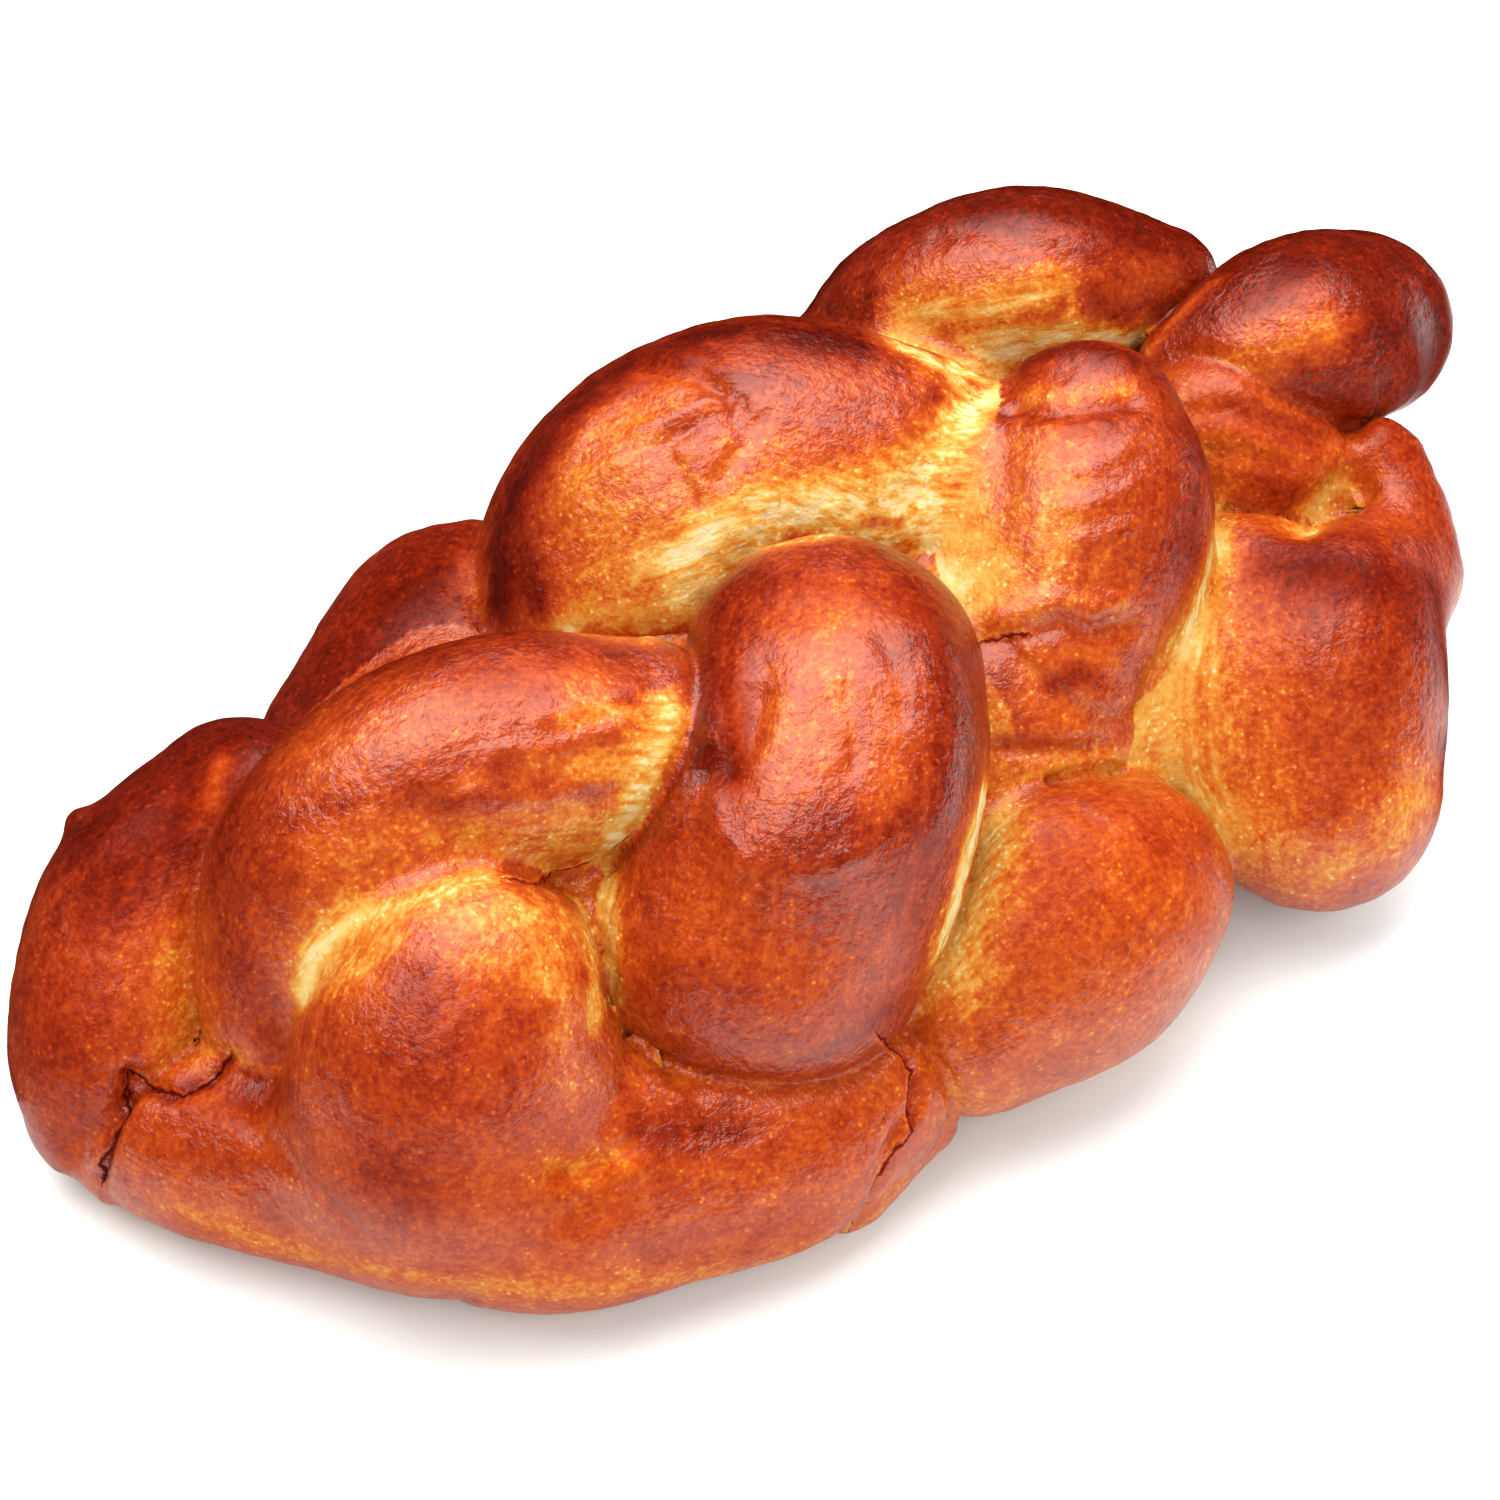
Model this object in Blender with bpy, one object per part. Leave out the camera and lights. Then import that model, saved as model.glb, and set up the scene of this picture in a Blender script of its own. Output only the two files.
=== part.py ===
"""Egg challah: a loaf plaited from thick strands of dough and baked in one piece.

The loaf lies along X on its flat underside, +Z is up, and its rounded near end is at -X.
Each strand shows as a few fat lobes: it climbs out of the plait, runs over the crest,
comes down the side and dives under its neighbour. A lobe is a loft of oval sections along
a smooth curve, with round ends. The lobes are joined into one solid and the underside is
cut flat, as it bakes on a tray.
"""

import math

import bmesh
import bpy
from mathutils import Matrix, Vector

MM = 0.001

# The plait is laid out round a level line through its heart. In millimetres: the line's two
# ends along X, its height, and the loaf's middle on this layout.
HEART_NEAR = -92.0
HEART_FAR = 105.0
HEART_HEIGHT = 20.0
LAYOUT_MIDDLE = Vector((13.9, -0.4))

# Length of the facets, in millimetres, round a lobe and along it.
FACET = 8.5
FEWEST_SIDES = 9
CAP_SECTIONS = 3

# Stations of each lobe in millimetres: along, across, up, half width and half thickness.
LOBES = {
    "middle_front_crest": [
        (2, -20, 74, 26, 25),
        (-12.5, -33, 66, 28.8, 28),
        (-31, -39, 46, 30, 27),
    ],
    "far_front_crest": [(75, -6, 79, 18, 18), (64, -17, 70, 24, 23), (49, -24, 52, 19, 20)],
    "far_front_flank": [(62, -8, 66, 20, 20), (46, -20, 56, 21, 21), (38, -30, 47, 20, 20)],
    "near_back_crest": [
        (-32, -9, 72, 18, 18),
        (-57, 3, 73, 22, 22),
        (-80, 10, 60, 23, 23),
        (-91, 10, 40, 20, 20),
    ],
    "middle_back_crest": [
        (50, 11, 77, 20, 18),
        (30, 29, 73.5, 30, 28),
        (12, 36, 66.5, 32, 30),
        (-1, 43, 53, 24.5, 24.5),
    ],
    "middle_back_belly": [
        (50, 12, 67, 17, 17),
        (35, 17, 65, 20, 20),
        (12, 22, 61, 22, 22),
        (-8, 28, 54, 20, 20),
    ],
    "far_back_crest": [
        (124.5, 26.5, 69, 12, 12),
        (102, 37, 75, 19, 18.5),
        (88, 50, 67, 18.5, 18.5),
        (83, 59, 53, 17, 16.5),
        (84, 63, 38, 17, 15),
    ],
    "far_knob": [(114, 4, 67, 12, 12), (129.5, -4.2, 71.6, 19.5, 19.2), (149, -3.8, 65.3, 18.5, 18)],
    "under_knob": [(108, -7, 63, 16, 16), (114, -17, 56, 16, 16)],
    "near_front_crest": [(-80, -22, 54, 23, 23), (-87, -25, 45, 25, 25), (-91, -26, 30, 25, 25)],
    "near_front_foot": [
        (-25, -60, 20, 15.5, 15.5),
        (-46, -55.6, 20, 20.1, 20.1),
        (-72, -41.2, 21, 22, 22),
        (-93, -20, 19.3, 22, 22),
        (-114, 6, 17, 18, 18),
        (-125, 21, 13, 12, 12),
    ],
    "near_front_bridge": [(-87, -26, 38, 25, 24.5), (-76, -37, 24, 24.5, 23.5)],
    "near_front_split": [(-18, -64, 15, 9.5, 9.5), (-34, -64, 11, 11, 11)],
    "near_front_fold": [(-91, -46, 30, 3, 3), (-81, -51, 32, 7, 6), (-70, -52, 35, 3, 3)],
    "near_end_fold": [(-122, 3, 26, 4, 4), (-112, -3, 29, 8, 7), (-102, -11, 32, 4, 4)],
    "middle_front_foot": [(35, -60.5, 32, 20.5, 20.5), (21, -60.5, 31, 25.5, 25), (1, -58.5, 24, 20, 20)],
    "far_front_foot": [(109, -41, 48, 14, 14), (96.5, -50, 45.5, 21.5, 21.5), (84.5, -62, 26.5, 22.5, 22.5)],
    "far_front_web": [(91, -33, 52, 14, 14), (72, -42, 43, 15, 15), (70, -53, 28, 14, 14)],
    "far_collar": [(128, -29, 58, 8, 8), (127, -38, 54, 9, 9), (120, -45, 47, 12, 12)],
    "far_front_tuck": [(123, -36, 36, 14, 14), (117, -41, 20, 14, 14)],
    "far_end_tuck": [(118, -30, 24, 20, 20), (134, -12, 27, 22, 22), (134, 10, 27, 21, 21)],
    "near_end": [
        (-82, 41, 44.5, 20, 19.8),
        (-102, 40, 38.5, 20, 20),
        (-118, 31, 27, 18.5, 18.5),
        (-125, 26, 15, 14, 14),
    ],
    "near_end_flake": [(-134, 25, 14, 4.5, 4.5), (-131, 15, 10.5, 5, 5)],
    "near_back_foot": [(-16, 56, 47, 17.5, 17.5), (-26, 61, 41, 19.4, 19.4), (-48, 54, 35, 16.5, 16.5)],
    "near_back_toe": [(-24, 56, 24, 20, 20), (-48, 52, 22, 21, 21), (-68, 44, 20, 18, 18)],
    "middle_back_foot": [(78, 48, 47, 21, 21), (54, 59.3, 38, 26, 25), (24, 59, 26, 23, 22)],
    "far_back_foot": [(143, 14, 38, 18, 18), (128, 34, 33, 24, 23), (102, 50, 27, 25, 24), (84, 56, 22, 21, 20)],
    "near_back_web": [(-62, 34, 38, 20, 19), (-36, 43, 38, 20, 19)],
    "far_back_web": [(72, 36, 54, 22, 21), (44, 48, 49, 22, 20)],
    "heart": [(-92, 6, 20, 28, 22), (-45, 2, 28, 46, 37), (40, 2, 32, 54, 40), (108, -2, 26, 44, 34)],
    "sole": [
        (-112, 14, 10, 20, 13),
        (-80, 4, 12, 46, 15),
        (-30, 0, 12, 62, 15),
        (50, 0, 12, 66, 15),
        (98, -6, 12, 56, 15),
        (124, -2, 11, 36, 14),
    ],
}

# Dimples and creases in the crust, in millimetres: from, to, half width and depth.
CREASES = [
    ((67, -11, 96), (69, -10, 96), 14, 3),
    ((38, -28, 72), (58, -40, 74), 7, 3),
    ((-32, -26, 87), (-26, -34, 91), 9, 3),
    ((-79, -9, 80), (-72, -13, 81), 10, 3),
    ((18, 24, 99), (32, 22, 100), 9, 2),
    ((113, -32, 61), (116, -30, 61), 9, 4),
]


def clear_scene():
    """Remove whatever the file opened with."""
    for item in list(bpy.data.objects):
        bpy.data.objects.remove(item, do_unlink=True)


def smooth_row(rows, segment, t):
    """A row between two stations, on the smooth curve that passes through all of them."""
    last = len(rows) - 1
    b, c = rows[segment], rows[segment + 1]
    a = rows[segment - 1] if segment > 0 else [2 * p - q for p, q in zip(b, c)]
    d = rows[segment + 2] if segment + 2 <= last else [2 * q - p for p, q in zip(b, c)]
    return [
        0.5 * (2 * b[k] + (c[k] - a[k]) * t
               + (2 * a[k] - 5 * b[k] + 4 * c[k] - d[k]) * t ** 2
               + (3 * b[k] - a[k] - 3 * c[k] + d[k]) * t ** 3)
        for k in range(len(b))
    ]


def sections_along(stations):
    """Sections at an even spacing along the lobe, with the shrinking ones of its round ends."""
    rows = []
    for segment in range(len(stations) - 1):
        start, end = Vector(stations[segment][:3]), Vector(stations[segment + 1][:3])
        steps = max(2, round((end - start).length / FACET))
        rows += [smooth_row(stations, segment, step / steps) for step in range(steps)]
    rows.append(list(stations[-1]))

    places = [Vector(row[:3]) for row in rows]
    tangents = []
    for index in range(len(places)):
        before, after = places[max(0, index - 1)], places[min(len(places) - 1, index + 1)]
        tangents.append((after - before).normalized())
    body = [(place, tangent, row[3], row[4])
            for place, tangent, row in zip(places, tangents, rows)]

    def cap(section, facing):
        place, tangent, width, thickness = section
        reach = min(width, thickness)
        rings = []
        for ring in range(1, CAP_SECTIONS + 1):
            angle = 0.5 * math.pi * ring / (CAP_SECTIONS + 0.35)
            shrink = math.cos(angle)
            shift = facing * reach * math.sin(angle)
            rings.append((place + tangent * shift, tangent, width * shrink, thickness * shrink))
        return rings, place + tangent * facing * reach

    first_cap, first_pole = cap(body[0], -1)
    last_cap, last_pole = cap(body[-1], 1)
    return first_cap[::-1] + body + last_cap, first_pole, last_pole


def from_heart(point):
    """The way from the heart line to a point of the loaf."""
    return point - Vector((min(HEART_FAR, max(HEART_NEAR, point.x)), 0, HEART_HEIGHT))


def outward_from_heart(place, tangent):
    """The direction square to the lobe that points out of the loaf."""
    outward = from_heart(place)
    outward -= tangent * outward.dot(tangent)
    return outward.normalized()


def creased(point):
    """The point of the crust, pushed in where a crease or a dimple passes."""
    inward = -from_heart(point).normalized()
    for start, end, half_width, depth in CREASES:
        start, line = Vector(start), Vector(end) - Vector(start)
        share = min(1.0, max(0.0, (point - start).dot(line) / line.length_squared))
        away = (point - start - line * share).length / half_width
        if away < 1:
            point = point + inward * depth * (1 - away ** 2) ** 2
    return point


def lobe_object(name, stations):
    """A closed loft of oval sections along one lobe."""
    sections, first_pole, last_pole = sections_along(stations)
    widest = max(section[2] for section in sections)
    sides = max(FEWEST_SIDES, round(2 * math.pi * widest / FACET))
    shape = bmesh.new()
    rings = []
    for place, tangent, width, thickness in sections:
        outward = outward_from_heart(place, tangent)
        side = outward.cross(tangent)
        ring = []
        for step in range(sides):
            turn = 2 * math.pi * step / sides
            point = place + side * width * math.cos(turn) + outward * thickness * math.sin(turn)
            ring.append(shape.verts.new(creased(point)))
        rings.append(ring)
    for ring, following in zip(rings, rings[1:]):
        for step in range(sides):
            ahead = (step + 1) % sides
            shape.faces.new((ring[step], ring[ahead], following[ahead], following[step]))
    for ring, pole in ((rings[0], first_pole), (rings[-1], last_pole)):
        tip = shape.verts.new(creased(pole))
        for step in range(sides):
            shape.faces.new((tip, ring[step], ring[(step + 1) % sides]))
    bmesh.ops.recalc_face_normals(shape, faces=shape.faces)
    shift = Vector((-LAYOUT_MIDDLE.x, -LAYOUT_MIDDLE.y, 0))
    bmesh.ops.transform(shape, verts=shape.verts,
                        matrix=Matrix.Scale(MM, 4) @ Matrix.Translation(shift))
    mesh = bpy.data.meshes.new(name)
    shape.to_mesh(mesh)
    shape.free()
    return bpy.data.objects.new(name, mesh)


def new_collection(name):
    collection = bpy.data.collections.new(name)
    bpy.context.scene.collection.children.link(collection)
    return collection


def apply_modifiers(item):
    """Keep the modified shape as the object's own mesh."""
    graph = bpy.context.evaluated_depsgraph_get()
    mesh = bpy.data.meshes.new_from_object(item.evaluated_get(graph))
    item.modifiers.clear()
    item.data = mesh


def drop_scraps(shape):
    """Keep the largest connected surface, so loose scraps go and closed hollows are filled."""
    waiting = set(shape.faces)
    pieces = []
    while waiting:
        piece, front = set(), {waiting.pop()}
        while front:
            piece |= front
            sound = {edge for face in front for edge in face.edges if edge.is_manifold}
            front = {face for edge in sound for face in edge.link_faces} - piece
        waiting -= piece
        pieces.append(piece)
    pieces.sort(key=len)
    for piece in pieces[:-1]:
        bmesh.ops.delete(shape, geom=list(piece), context="FACES")


def crust_material():
    """Egg-washed crust: a deep golden brown with a soft gloss."""
    material = bpy.data.materials.new("egg_washed_crust")
    material.use_nodes = True
    surface = material.node_tree.nodes["Principled BSDF"]
    surface.inputs["Base Color"].default_value = (0.36, 0.095, 0.02, 1.0)
    surface.inputs["Roughness"].default_value = 0.32
    surface.inputs["Metallic"].default_value = 0.0
    material.diffuse_color = (0.36, 0.095, 0.02, 1.0)
    return material


def build_loaf():
    """Join the lobes into one solid, stand it on a flat underside and give it its crust."""
    challah = new_collection("egg_challah")
    strands = new_collection("strands")
    names = list(LOBES)
    loaf = lobe_object(names[0], LOBES[names[0]])
    loaf.name = "loaf"
    challah.objects.link(loaf)
    for name in names[1:]:
        strands.objects.link(lobe_object(name, LOBES[name]))

    plait = loaf.modifiers.new("plait", "BOOLEAN")
    plait.operation = "UNION"
    plait.operand_type = "COLLECTION"
    plait.collection = strands
    plait.solver = "EXACT"
    apply_modifiers(loaf)
    for item in list(strands.objects):
        bpy.data.objects.remove(item, do_unlink=True)
    bpy.data.collections.remove(strands)

    shape = bmesh.new()
    shape.from_mesh(loaf.data)
    bmesh.ops.triangulate(shape, faces=shape.faces[:])
    drop_scraps(shape)
    cut = bmesh.ops.bisect_plane(
        shape,
        geom=shape.verts[:] + shape.edges[:] + shape.faces[:],
        plane_co=(0, 0, 0),
        plane_no=(0, 0, 1),
        clear_inner=True,
    )
    rim = [part for part in cut["geom_cut"] if isinstance(part, bmesh.types.BMEdge)]
    bmesh.ops.holes_fill(shape, edges=rim, sides=0)
    bmesh.ops.recalc_face_normals(shape, faces=shape.faces)
    shape.to_mesh(loaf.data)
    shape.free()

    loaf.data.materials.clear()
    loaf.data.materials.append(crust_material())
    loaf.data.shade_smooth()
    loaf.data.set_sharp_from_angle(angle=math.radians(35))
    return loaf


clear_scene()
build_loaf()
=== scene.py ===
"""Egg challah: the looks of a plaited loaf, baked as one piece and standing on a pale table.

The crust is one fine mesh that stands for the plain solid. It is made from the same lobes as
the solid, melted together where the dough grew into one, then pushed in and out by named
creases, lips and wrinkles. Fields on the mesh say how dark the crust baked, with painted
highlights and painted shade laid into that browning, how glossy it is and how far the nearest
crack is, and they drive one procedural material, which also paints a shadow line along each crack.
"""

import itertools
import math

import bmesh
import bpy
import numpy as np
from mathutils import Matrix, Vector
from mathutils.bvhtree import BVHTree


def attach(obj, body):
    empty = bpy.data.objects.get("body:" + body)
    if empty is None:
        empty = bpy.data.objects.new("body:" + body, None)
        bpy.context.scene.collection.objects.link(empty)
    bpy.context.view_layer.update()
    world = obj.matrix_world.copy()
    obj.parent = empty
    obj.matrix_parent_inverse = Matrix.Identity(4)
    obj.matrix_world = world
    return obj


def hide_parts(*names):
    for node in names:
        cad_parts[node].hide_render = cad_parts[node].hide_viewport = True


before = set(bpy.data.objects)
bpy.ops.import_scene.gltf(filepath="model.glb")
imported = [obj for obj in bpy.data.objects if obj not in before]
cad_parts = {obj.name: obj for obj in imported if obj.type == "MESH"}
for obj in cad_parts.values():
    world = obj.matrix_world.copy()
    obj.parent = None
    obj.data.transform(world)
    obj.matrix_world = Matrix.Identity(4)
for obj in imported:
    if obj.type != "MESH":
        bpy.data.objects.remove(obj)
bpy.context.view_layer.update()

MM = 0.001
PHOTO_PIXELS = 1500

# The camera of the photo, in the layout's millimetres and degrees.
CAMERA_AZIMUTH = -40.0
CAMERA_ELEVATION = 45.0
CAMERA_DISTANCE = 750.0
CAMERA_TARGET = (0.0, 0.0, 43.0)
CAMERA_LENS = 100.0
CAMERA_SENSOR = 36.0

# The plait is laid out round a level line through its heart. In millimetres: the line's two
# ends along X, its height, and the loaf's middle on this layout.
HEART_NEAR = -92.0
HEART_FAR = 105.0
HEART_HEIGHT = 20.0
LAYOUT_MIDDLE = np.array([13.9, -0.4, 0.0])

# A lobe's loft: millimetres between its sections, sides of a section, sections in each round end,
# and the share of one step that the flat tip of that end takes up.
SECTION_STEP = 3.0
SECTION_SIDES = 36
CAP_SECTIONS = 7
CAP_TIP = 0.3

# Size of the crust's mesh squares, and a distance that stands for far away, in millimetres.
CRUST_CELL = 1.08
FAR_OFF = 99.0

# Each lobe of the loaf: how dark it baked, from 0 for pale dough to 1 for the darkest crust, and
# its stations in millimetres: along, across, up, half width and half thickness.
LOBES = {
    "middle_front_crest": (0.66, (2, -20, 74, 26, 25), (-12.5, -33, 66, 28.8, 28),
        (-31, -39, 46, 30, 27)),
    "far_front_crest": (0.50, (75, -6, 79, 18, 18), (64, -17, 70, 24, 23), (49, -24, 52, 19, 20)),
    "far_front_flank": (0.36, (62, -8, 66, 20, 20), (46, -20, 56, 21, 21), (38, -30, 47, 20, 20)),
    "near_back_crest": (0.58, (-32, -9, 72, 18, 18), (-57, 3, 73, 22, 22), (-80, 10, 60, 23, 23),
        (-91, 10, 40, 20, 20)),
    "middle_back_crest": (0.62, (50, 11, 77, 20, 18), (30, 29, 73.5, 30, 28), (12, 36, 66.5, 32, 30),
        (-1, 43, 53, 24.5, 24.5)),
    "middle_back_belly": (0.40, (50, 12, 67, 17, 17), (35, 17, 65, 20, 20), (12, 22, 61, 22, 22),
        (-8, 28, 54, 20, 20)),
    "far_back_crest": (0.72, (124.5, 26.5, 69, 12, 12), (102, 37, 75, 19, 18.5),
        (88, 50, 67, 18.5, 18.5), (83, 59, 53, 17, 16.5), (84, 63, 38, 17, 15)),
    "far_knob": (0.76, (114, 4, 67, 12, 12), (129.5, -4.2, 71.6, 19.5, 19.2),
        (149, -3.8, 65.3, 18.5, 18)),
    "under_knob": (0.42, (108, -7, 63, 16, 16), (114, -17, 56, 16, 16)),
    "near_front_crest": (0.58, (-80, -22, 54, 23, 23), (-87, -25, 45, 25, 25), (-91, -26, 30, 25, 25)),
    "near_front_foot": (0.56, (-25, -60, 20, 15.5, 15.5), (-46, -55.6, 20, 20.1, 20.1),
        (-72, -41.2, 21, 22, 22), (-93, -20, 19.3, 22, 22), (-114, 6, 17, 18, 18),
        (-125, 21, 13, 12, 12)),
    "near_front_bridge": (0.65, (-87, -26, 38, 25, 24.5), (-76, -37, 24, 24.5, 23.5)),
    "near_front_split": (0.52, (-18, -64, 15, 9.5, 9.5), (-34, -64, 11, 11, 11)),
    "near_front_fold": (0.60, (-91, -46, 30, 3, 3), (-81, -51, 32, 7, 6), (-70, -52, 35, 3, 3)),
    "near_end_fold": (0.66, (-122, 3, 26, 4, 4), (-112, -3, 29, 8, 7), (-102, -11, 32, 4, 4)),
    "middle_front_foot": (0.53, (35, -60.5, 32, 20.5, 20.5), (21, -60.5, 31, 25.5, 25),
        (1, -58.5, 24, 20, 20)),
    "far_front_foot": (0.62, (109, -41, 48, 14, 14), (96.5, -50, 45.5, 21.5, 21.5),
        (84.5, -62, 26.5, 22.5, 22.5)),
    "far_front_web": (0.30, (91, -33, 52, 14, 14), (72, -42, 43, 15, 15), (70, -53, 28, 14, 14)),
    "far_collar": (0.66, (128, -29, 58, 8, 8), (127, -38, 54, 9, 9), (120, -45, 47, 12, 12)),
    "far_front_tuck": (0.45, (123, -36, 36, 14, 14), (117, -41, 20, 14, 14)),
    "far_end_tuck": (0.56, (118, -30, 24, 20, 20), (134, -12, 27, 22, 22), (134, 10, 27, 21, 21)),
    "near_end": (0.70, (-82, 41, 44.5, 20, 19.8), (-102, 40, 38.5, 20, 20), (-118, 31, 27, 18.5, 18.5),
        (-125, 26, 15, 14, 14)),
    "near_end_flake": (0.70, (-134, 25, 14, 4.5, 4.5), (-131, 15, 10.5, 5, 5)),
    "near_back_foot": (0.66, (-16, 56, 47, 17.5, 17.5), (-26, 61, 41, 19.4, 19.4),
        (-48, 54, 35, 16.5, 16.5)),
    "near_back_toe": (0.60, (-24, 56, 24, 20, 20), (-48, 52, 22, 21, 21), (-68, 44, 20, 18, 18)),
    "middle_back_foot": (0.60, (78, 48, 47, 21, 21), (54, 59.3, 38, 26, 25), (24, 59, 26, 23, 22)),
    "far_back_foot": (0.60, (143, 14, 38, 18, 18), (128, 34, 33, 24, 23), (102, 50, 27, 25, 24),
        (84, 56, 22, 21, 20)),
    "near_back_web": (0.50, (-62, 34, 38, 20, 19), (-36, 43, 38, 20, 19)),
    "far_back_web": (0.50, (72, 36, 54, 22, 21), (44, 48, 49, 22, 20)),
    "heart": (0.28, (-92, 6, 20, 28, 22), (-45, 2, 28, 46, 37), (40, 2, 32, 54, 40),
        (108, -2, 26, 44, 34)),
    "sole": (0.50, (-112, 14, 10, 20, 13), (-80, 4, 12, 46, 15), (-30, 0, 12, 62, 15),
        (50, 0, 12, 66, 15), (98, -6, 12, 56, 15), (124, -2, 11, 36, 14)),
}

# Millimetres over which two lobes melt into each other: any pair, a pair with a filler, the named
# pairs and the widest of them. The crust is moved onto the melted surface in a few rounds.
TIGHT_SEAM = 1.6
FILLER_SEAM = 6.0
FILLERS = ("heart", "sole", "near_back_web", "far_back_web")
MELTED = {
    "far_front_crest": {"far_front_flank": 12},
    "middle_back_crest": {"middle_back_belly": 14, "far_front_crest": 6, "far_front_flank": 6,
        "middle_back_foot": 4},
    "middle_back_belly": {"far_front_crest": 6, "far_front_flank": 6},
    "near_front_crest": {"near_front_foot": 9, "near_front_bridge": 12, "near_back_crest": 5},
    "near_front_bridge": {"near_front_foot": 12},
    "far_front_web": {"far_front_foot": 8, "far_front_crest": 4},
    "far_collar": {"far_front_foot": 10, "under_knob": 4},
    "near_front_split": {"near_front_foot": 0.6},
    "near_end": {"near_front_foot": 0.8, "near_end_flake": 1.2, "near_back_toe": 8},
    "near_back_foot": {"near_back_toe": 10},
    "far_back_crest": {"far_back_foot": 5, "middle_back_foot": 5},
    "middle_back_foot": {"far_back_foot": 5},
    "near_back_toe": {"middle_back_foot": 4},
    "far_end_tuck": {"far_front_foot": 4, "far_front_tuck": 6, "far_back_foot": 4},
}
WIDEST_MELT = 14
MELT_ROUNDS = 3


def melt_widths():
    """Millimetres over which each pair of lobes melts, as a square table. A lobe is all one."""
    number = {name: index for index, name in enumerate(LOBES)}
    widths = np.full((len(LOBES), len(LOBES)), TIGHT_SEAM)
    for filler in FILLERS:
        widths[number[filler], :] = FILLER_SEAM
        widths[:, number[filler]] = FILLER_SEAM
    for one, others in MELTED.items():
        for other, width in others.items():
            widths[number[one], number[other]] = width
            widths[number[other], number[one]] = width
    np.fill_diagonal(widths, FAR_OFF)
    return widths


MELT_WIDTHS = melt_widths()

# Lobes that melt over at least this many millimetres count as one strand.
FAMILY_MELT = 7.0

# How far one lobe's browning runs into the next, as a share of the width that they melt over.
TONE_SPREAD = 0.5


def unit(vectors):
    """The vectors at length one."""
    return vectors / np.maximum(np.linalg.norm(vectors, axis=-1, keepdims=True), 1e-9)


def smooth_step(low, high, values):
    """0 below low, 1 above high, and a smooth rise between."""
    t = np.clip((values - low) / (high - low), 0, 1)
    return t * t * (3 - 2 * t)


def rows_along(stations):
    """Rows at an even spacing on the smooth curve through a lobe's stations."""
    stations = np.array(stations, float)
    padded = np.vstack([2 * stations[0] - stations[1], stations, 2 * stations[-1] - stations[-2]])
    rows = []
    for a, b, c, d in zip(padded, padded[1:], padded[2:], padded[3:]):
        steps = max(2, round(np.linalg.norm(c[:3] - b[:3]) / SECTION_STEP))
        for t in np.arange(steps) / steps:
            rows.append(0.5 * (2 * b + (c - a) * t + (2 * a - 5 * b + 4 * c - d) * t ** 2
                               + (3 * b - a - 3 * c + d) * t ** 3))
    rows.append(stations[-1])
    return np.array(rows)


def from_heart(points):
    """The way from the heart line to each point of the loaf."""
    foot = np.zeros_like(points)
    foot[..., 0] = np.clip(points[..., 0], HEART_NEAR, HEART_FAR)
    foot[..., 2] = HEART_HEIGHT
    return points - foot


def sections_of(stations):
    """Places, axes (along, side, outward) and half sizes of a lobe's sections."""
    rows = rows_along(stations)
    places = rows[:, :3]
    along = unit(np.gradient(places, axis=0))
    outward = from_heart(places)
    outward = unit(outward - (outward * along).sum(1, keepdims=True) * along)
    side = np.cross(outward, along)
    width, thickness = rows[:, 3], rows[:, 4]
    sizes = np.stack([np.minimum(width, thickness), width, thickness], axis=1)
    return places, np.stack([along, side, outward], axis=1), sizes


SECTIONS = [sections_of(stations) for _, *stations in LOBES.values()]


def lofted_lobes():
    """Points and faces of all the lobes as closed lofts with round ends."""
    points, faces = [], []
    turn = 2 * np.pi * np.arange(SECTION_SIDES) / SECTION_SIDES
    caps = 0.5 * np.pi * np.arange(CAP_SECTIONS, 0, -1) / (CAP_SECTIONS + CAP_TIP)
    for places, axes, sizes in SECTIONS:
        rings = [(0, -math.sin(cap), math.cos(cap)) for cap in caps]
        rings += [(index, 0, 1) for index in range(len(places))]
        rings += [(len(places) - 1, math.sin(cap), math.cos(cap)) for cap in caps[::-1]]
        start = sum(len(p) for p in points)
        for index, shift, shrink in rings:
            along, side, outward = axes[index]
            reach, width, thickness = sizes[index]
            middle = places[index] + along * shift * reach
            points.append(middle + np.outer(np.cos(turn) * width * shrink, side)
                          + np.outer(np.sin(turn) * thickness * shrink, outward))
        last = start + (len(rings) - 1) * SECTION_SIDES
        for low in range(start, last, SECTION_SIDES):
            high = low + SECTION_SIDES
            for step in range(SECTION_SIDES):
                ahead = (step + 1) % SECTION_SIDES
                faces.append((low + step, low + ahead, high + ahead, high + step))
        faces.append(tuple(range(start, start + SECTION_SIDES))[::-1])
        faces.append(tuple(range(last, last + SECTION_SIDES)))
    return np.concatenate(points), faces


def linked(name, data):
    """A new object of the data, in the scene."""
    item = bpy.data.objects.new(name, data)
    bpy.context.scene.collection.objects.link(item)
    return item


def mesh_arrays(mesh):
    """The points and the four-cornered faces of a mesh."""
    points = np.empty(len(mesh.vertices) * 3)
    mesh.vertices.foreach_get("co", points)
    corners = np.empty(len(mesh.loops), np.int64)
    mesh.loops.foreach_get("vertex_index", corners)
    return points.reshape(-1, 3), corners.reshape(-1, 4)


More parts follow.
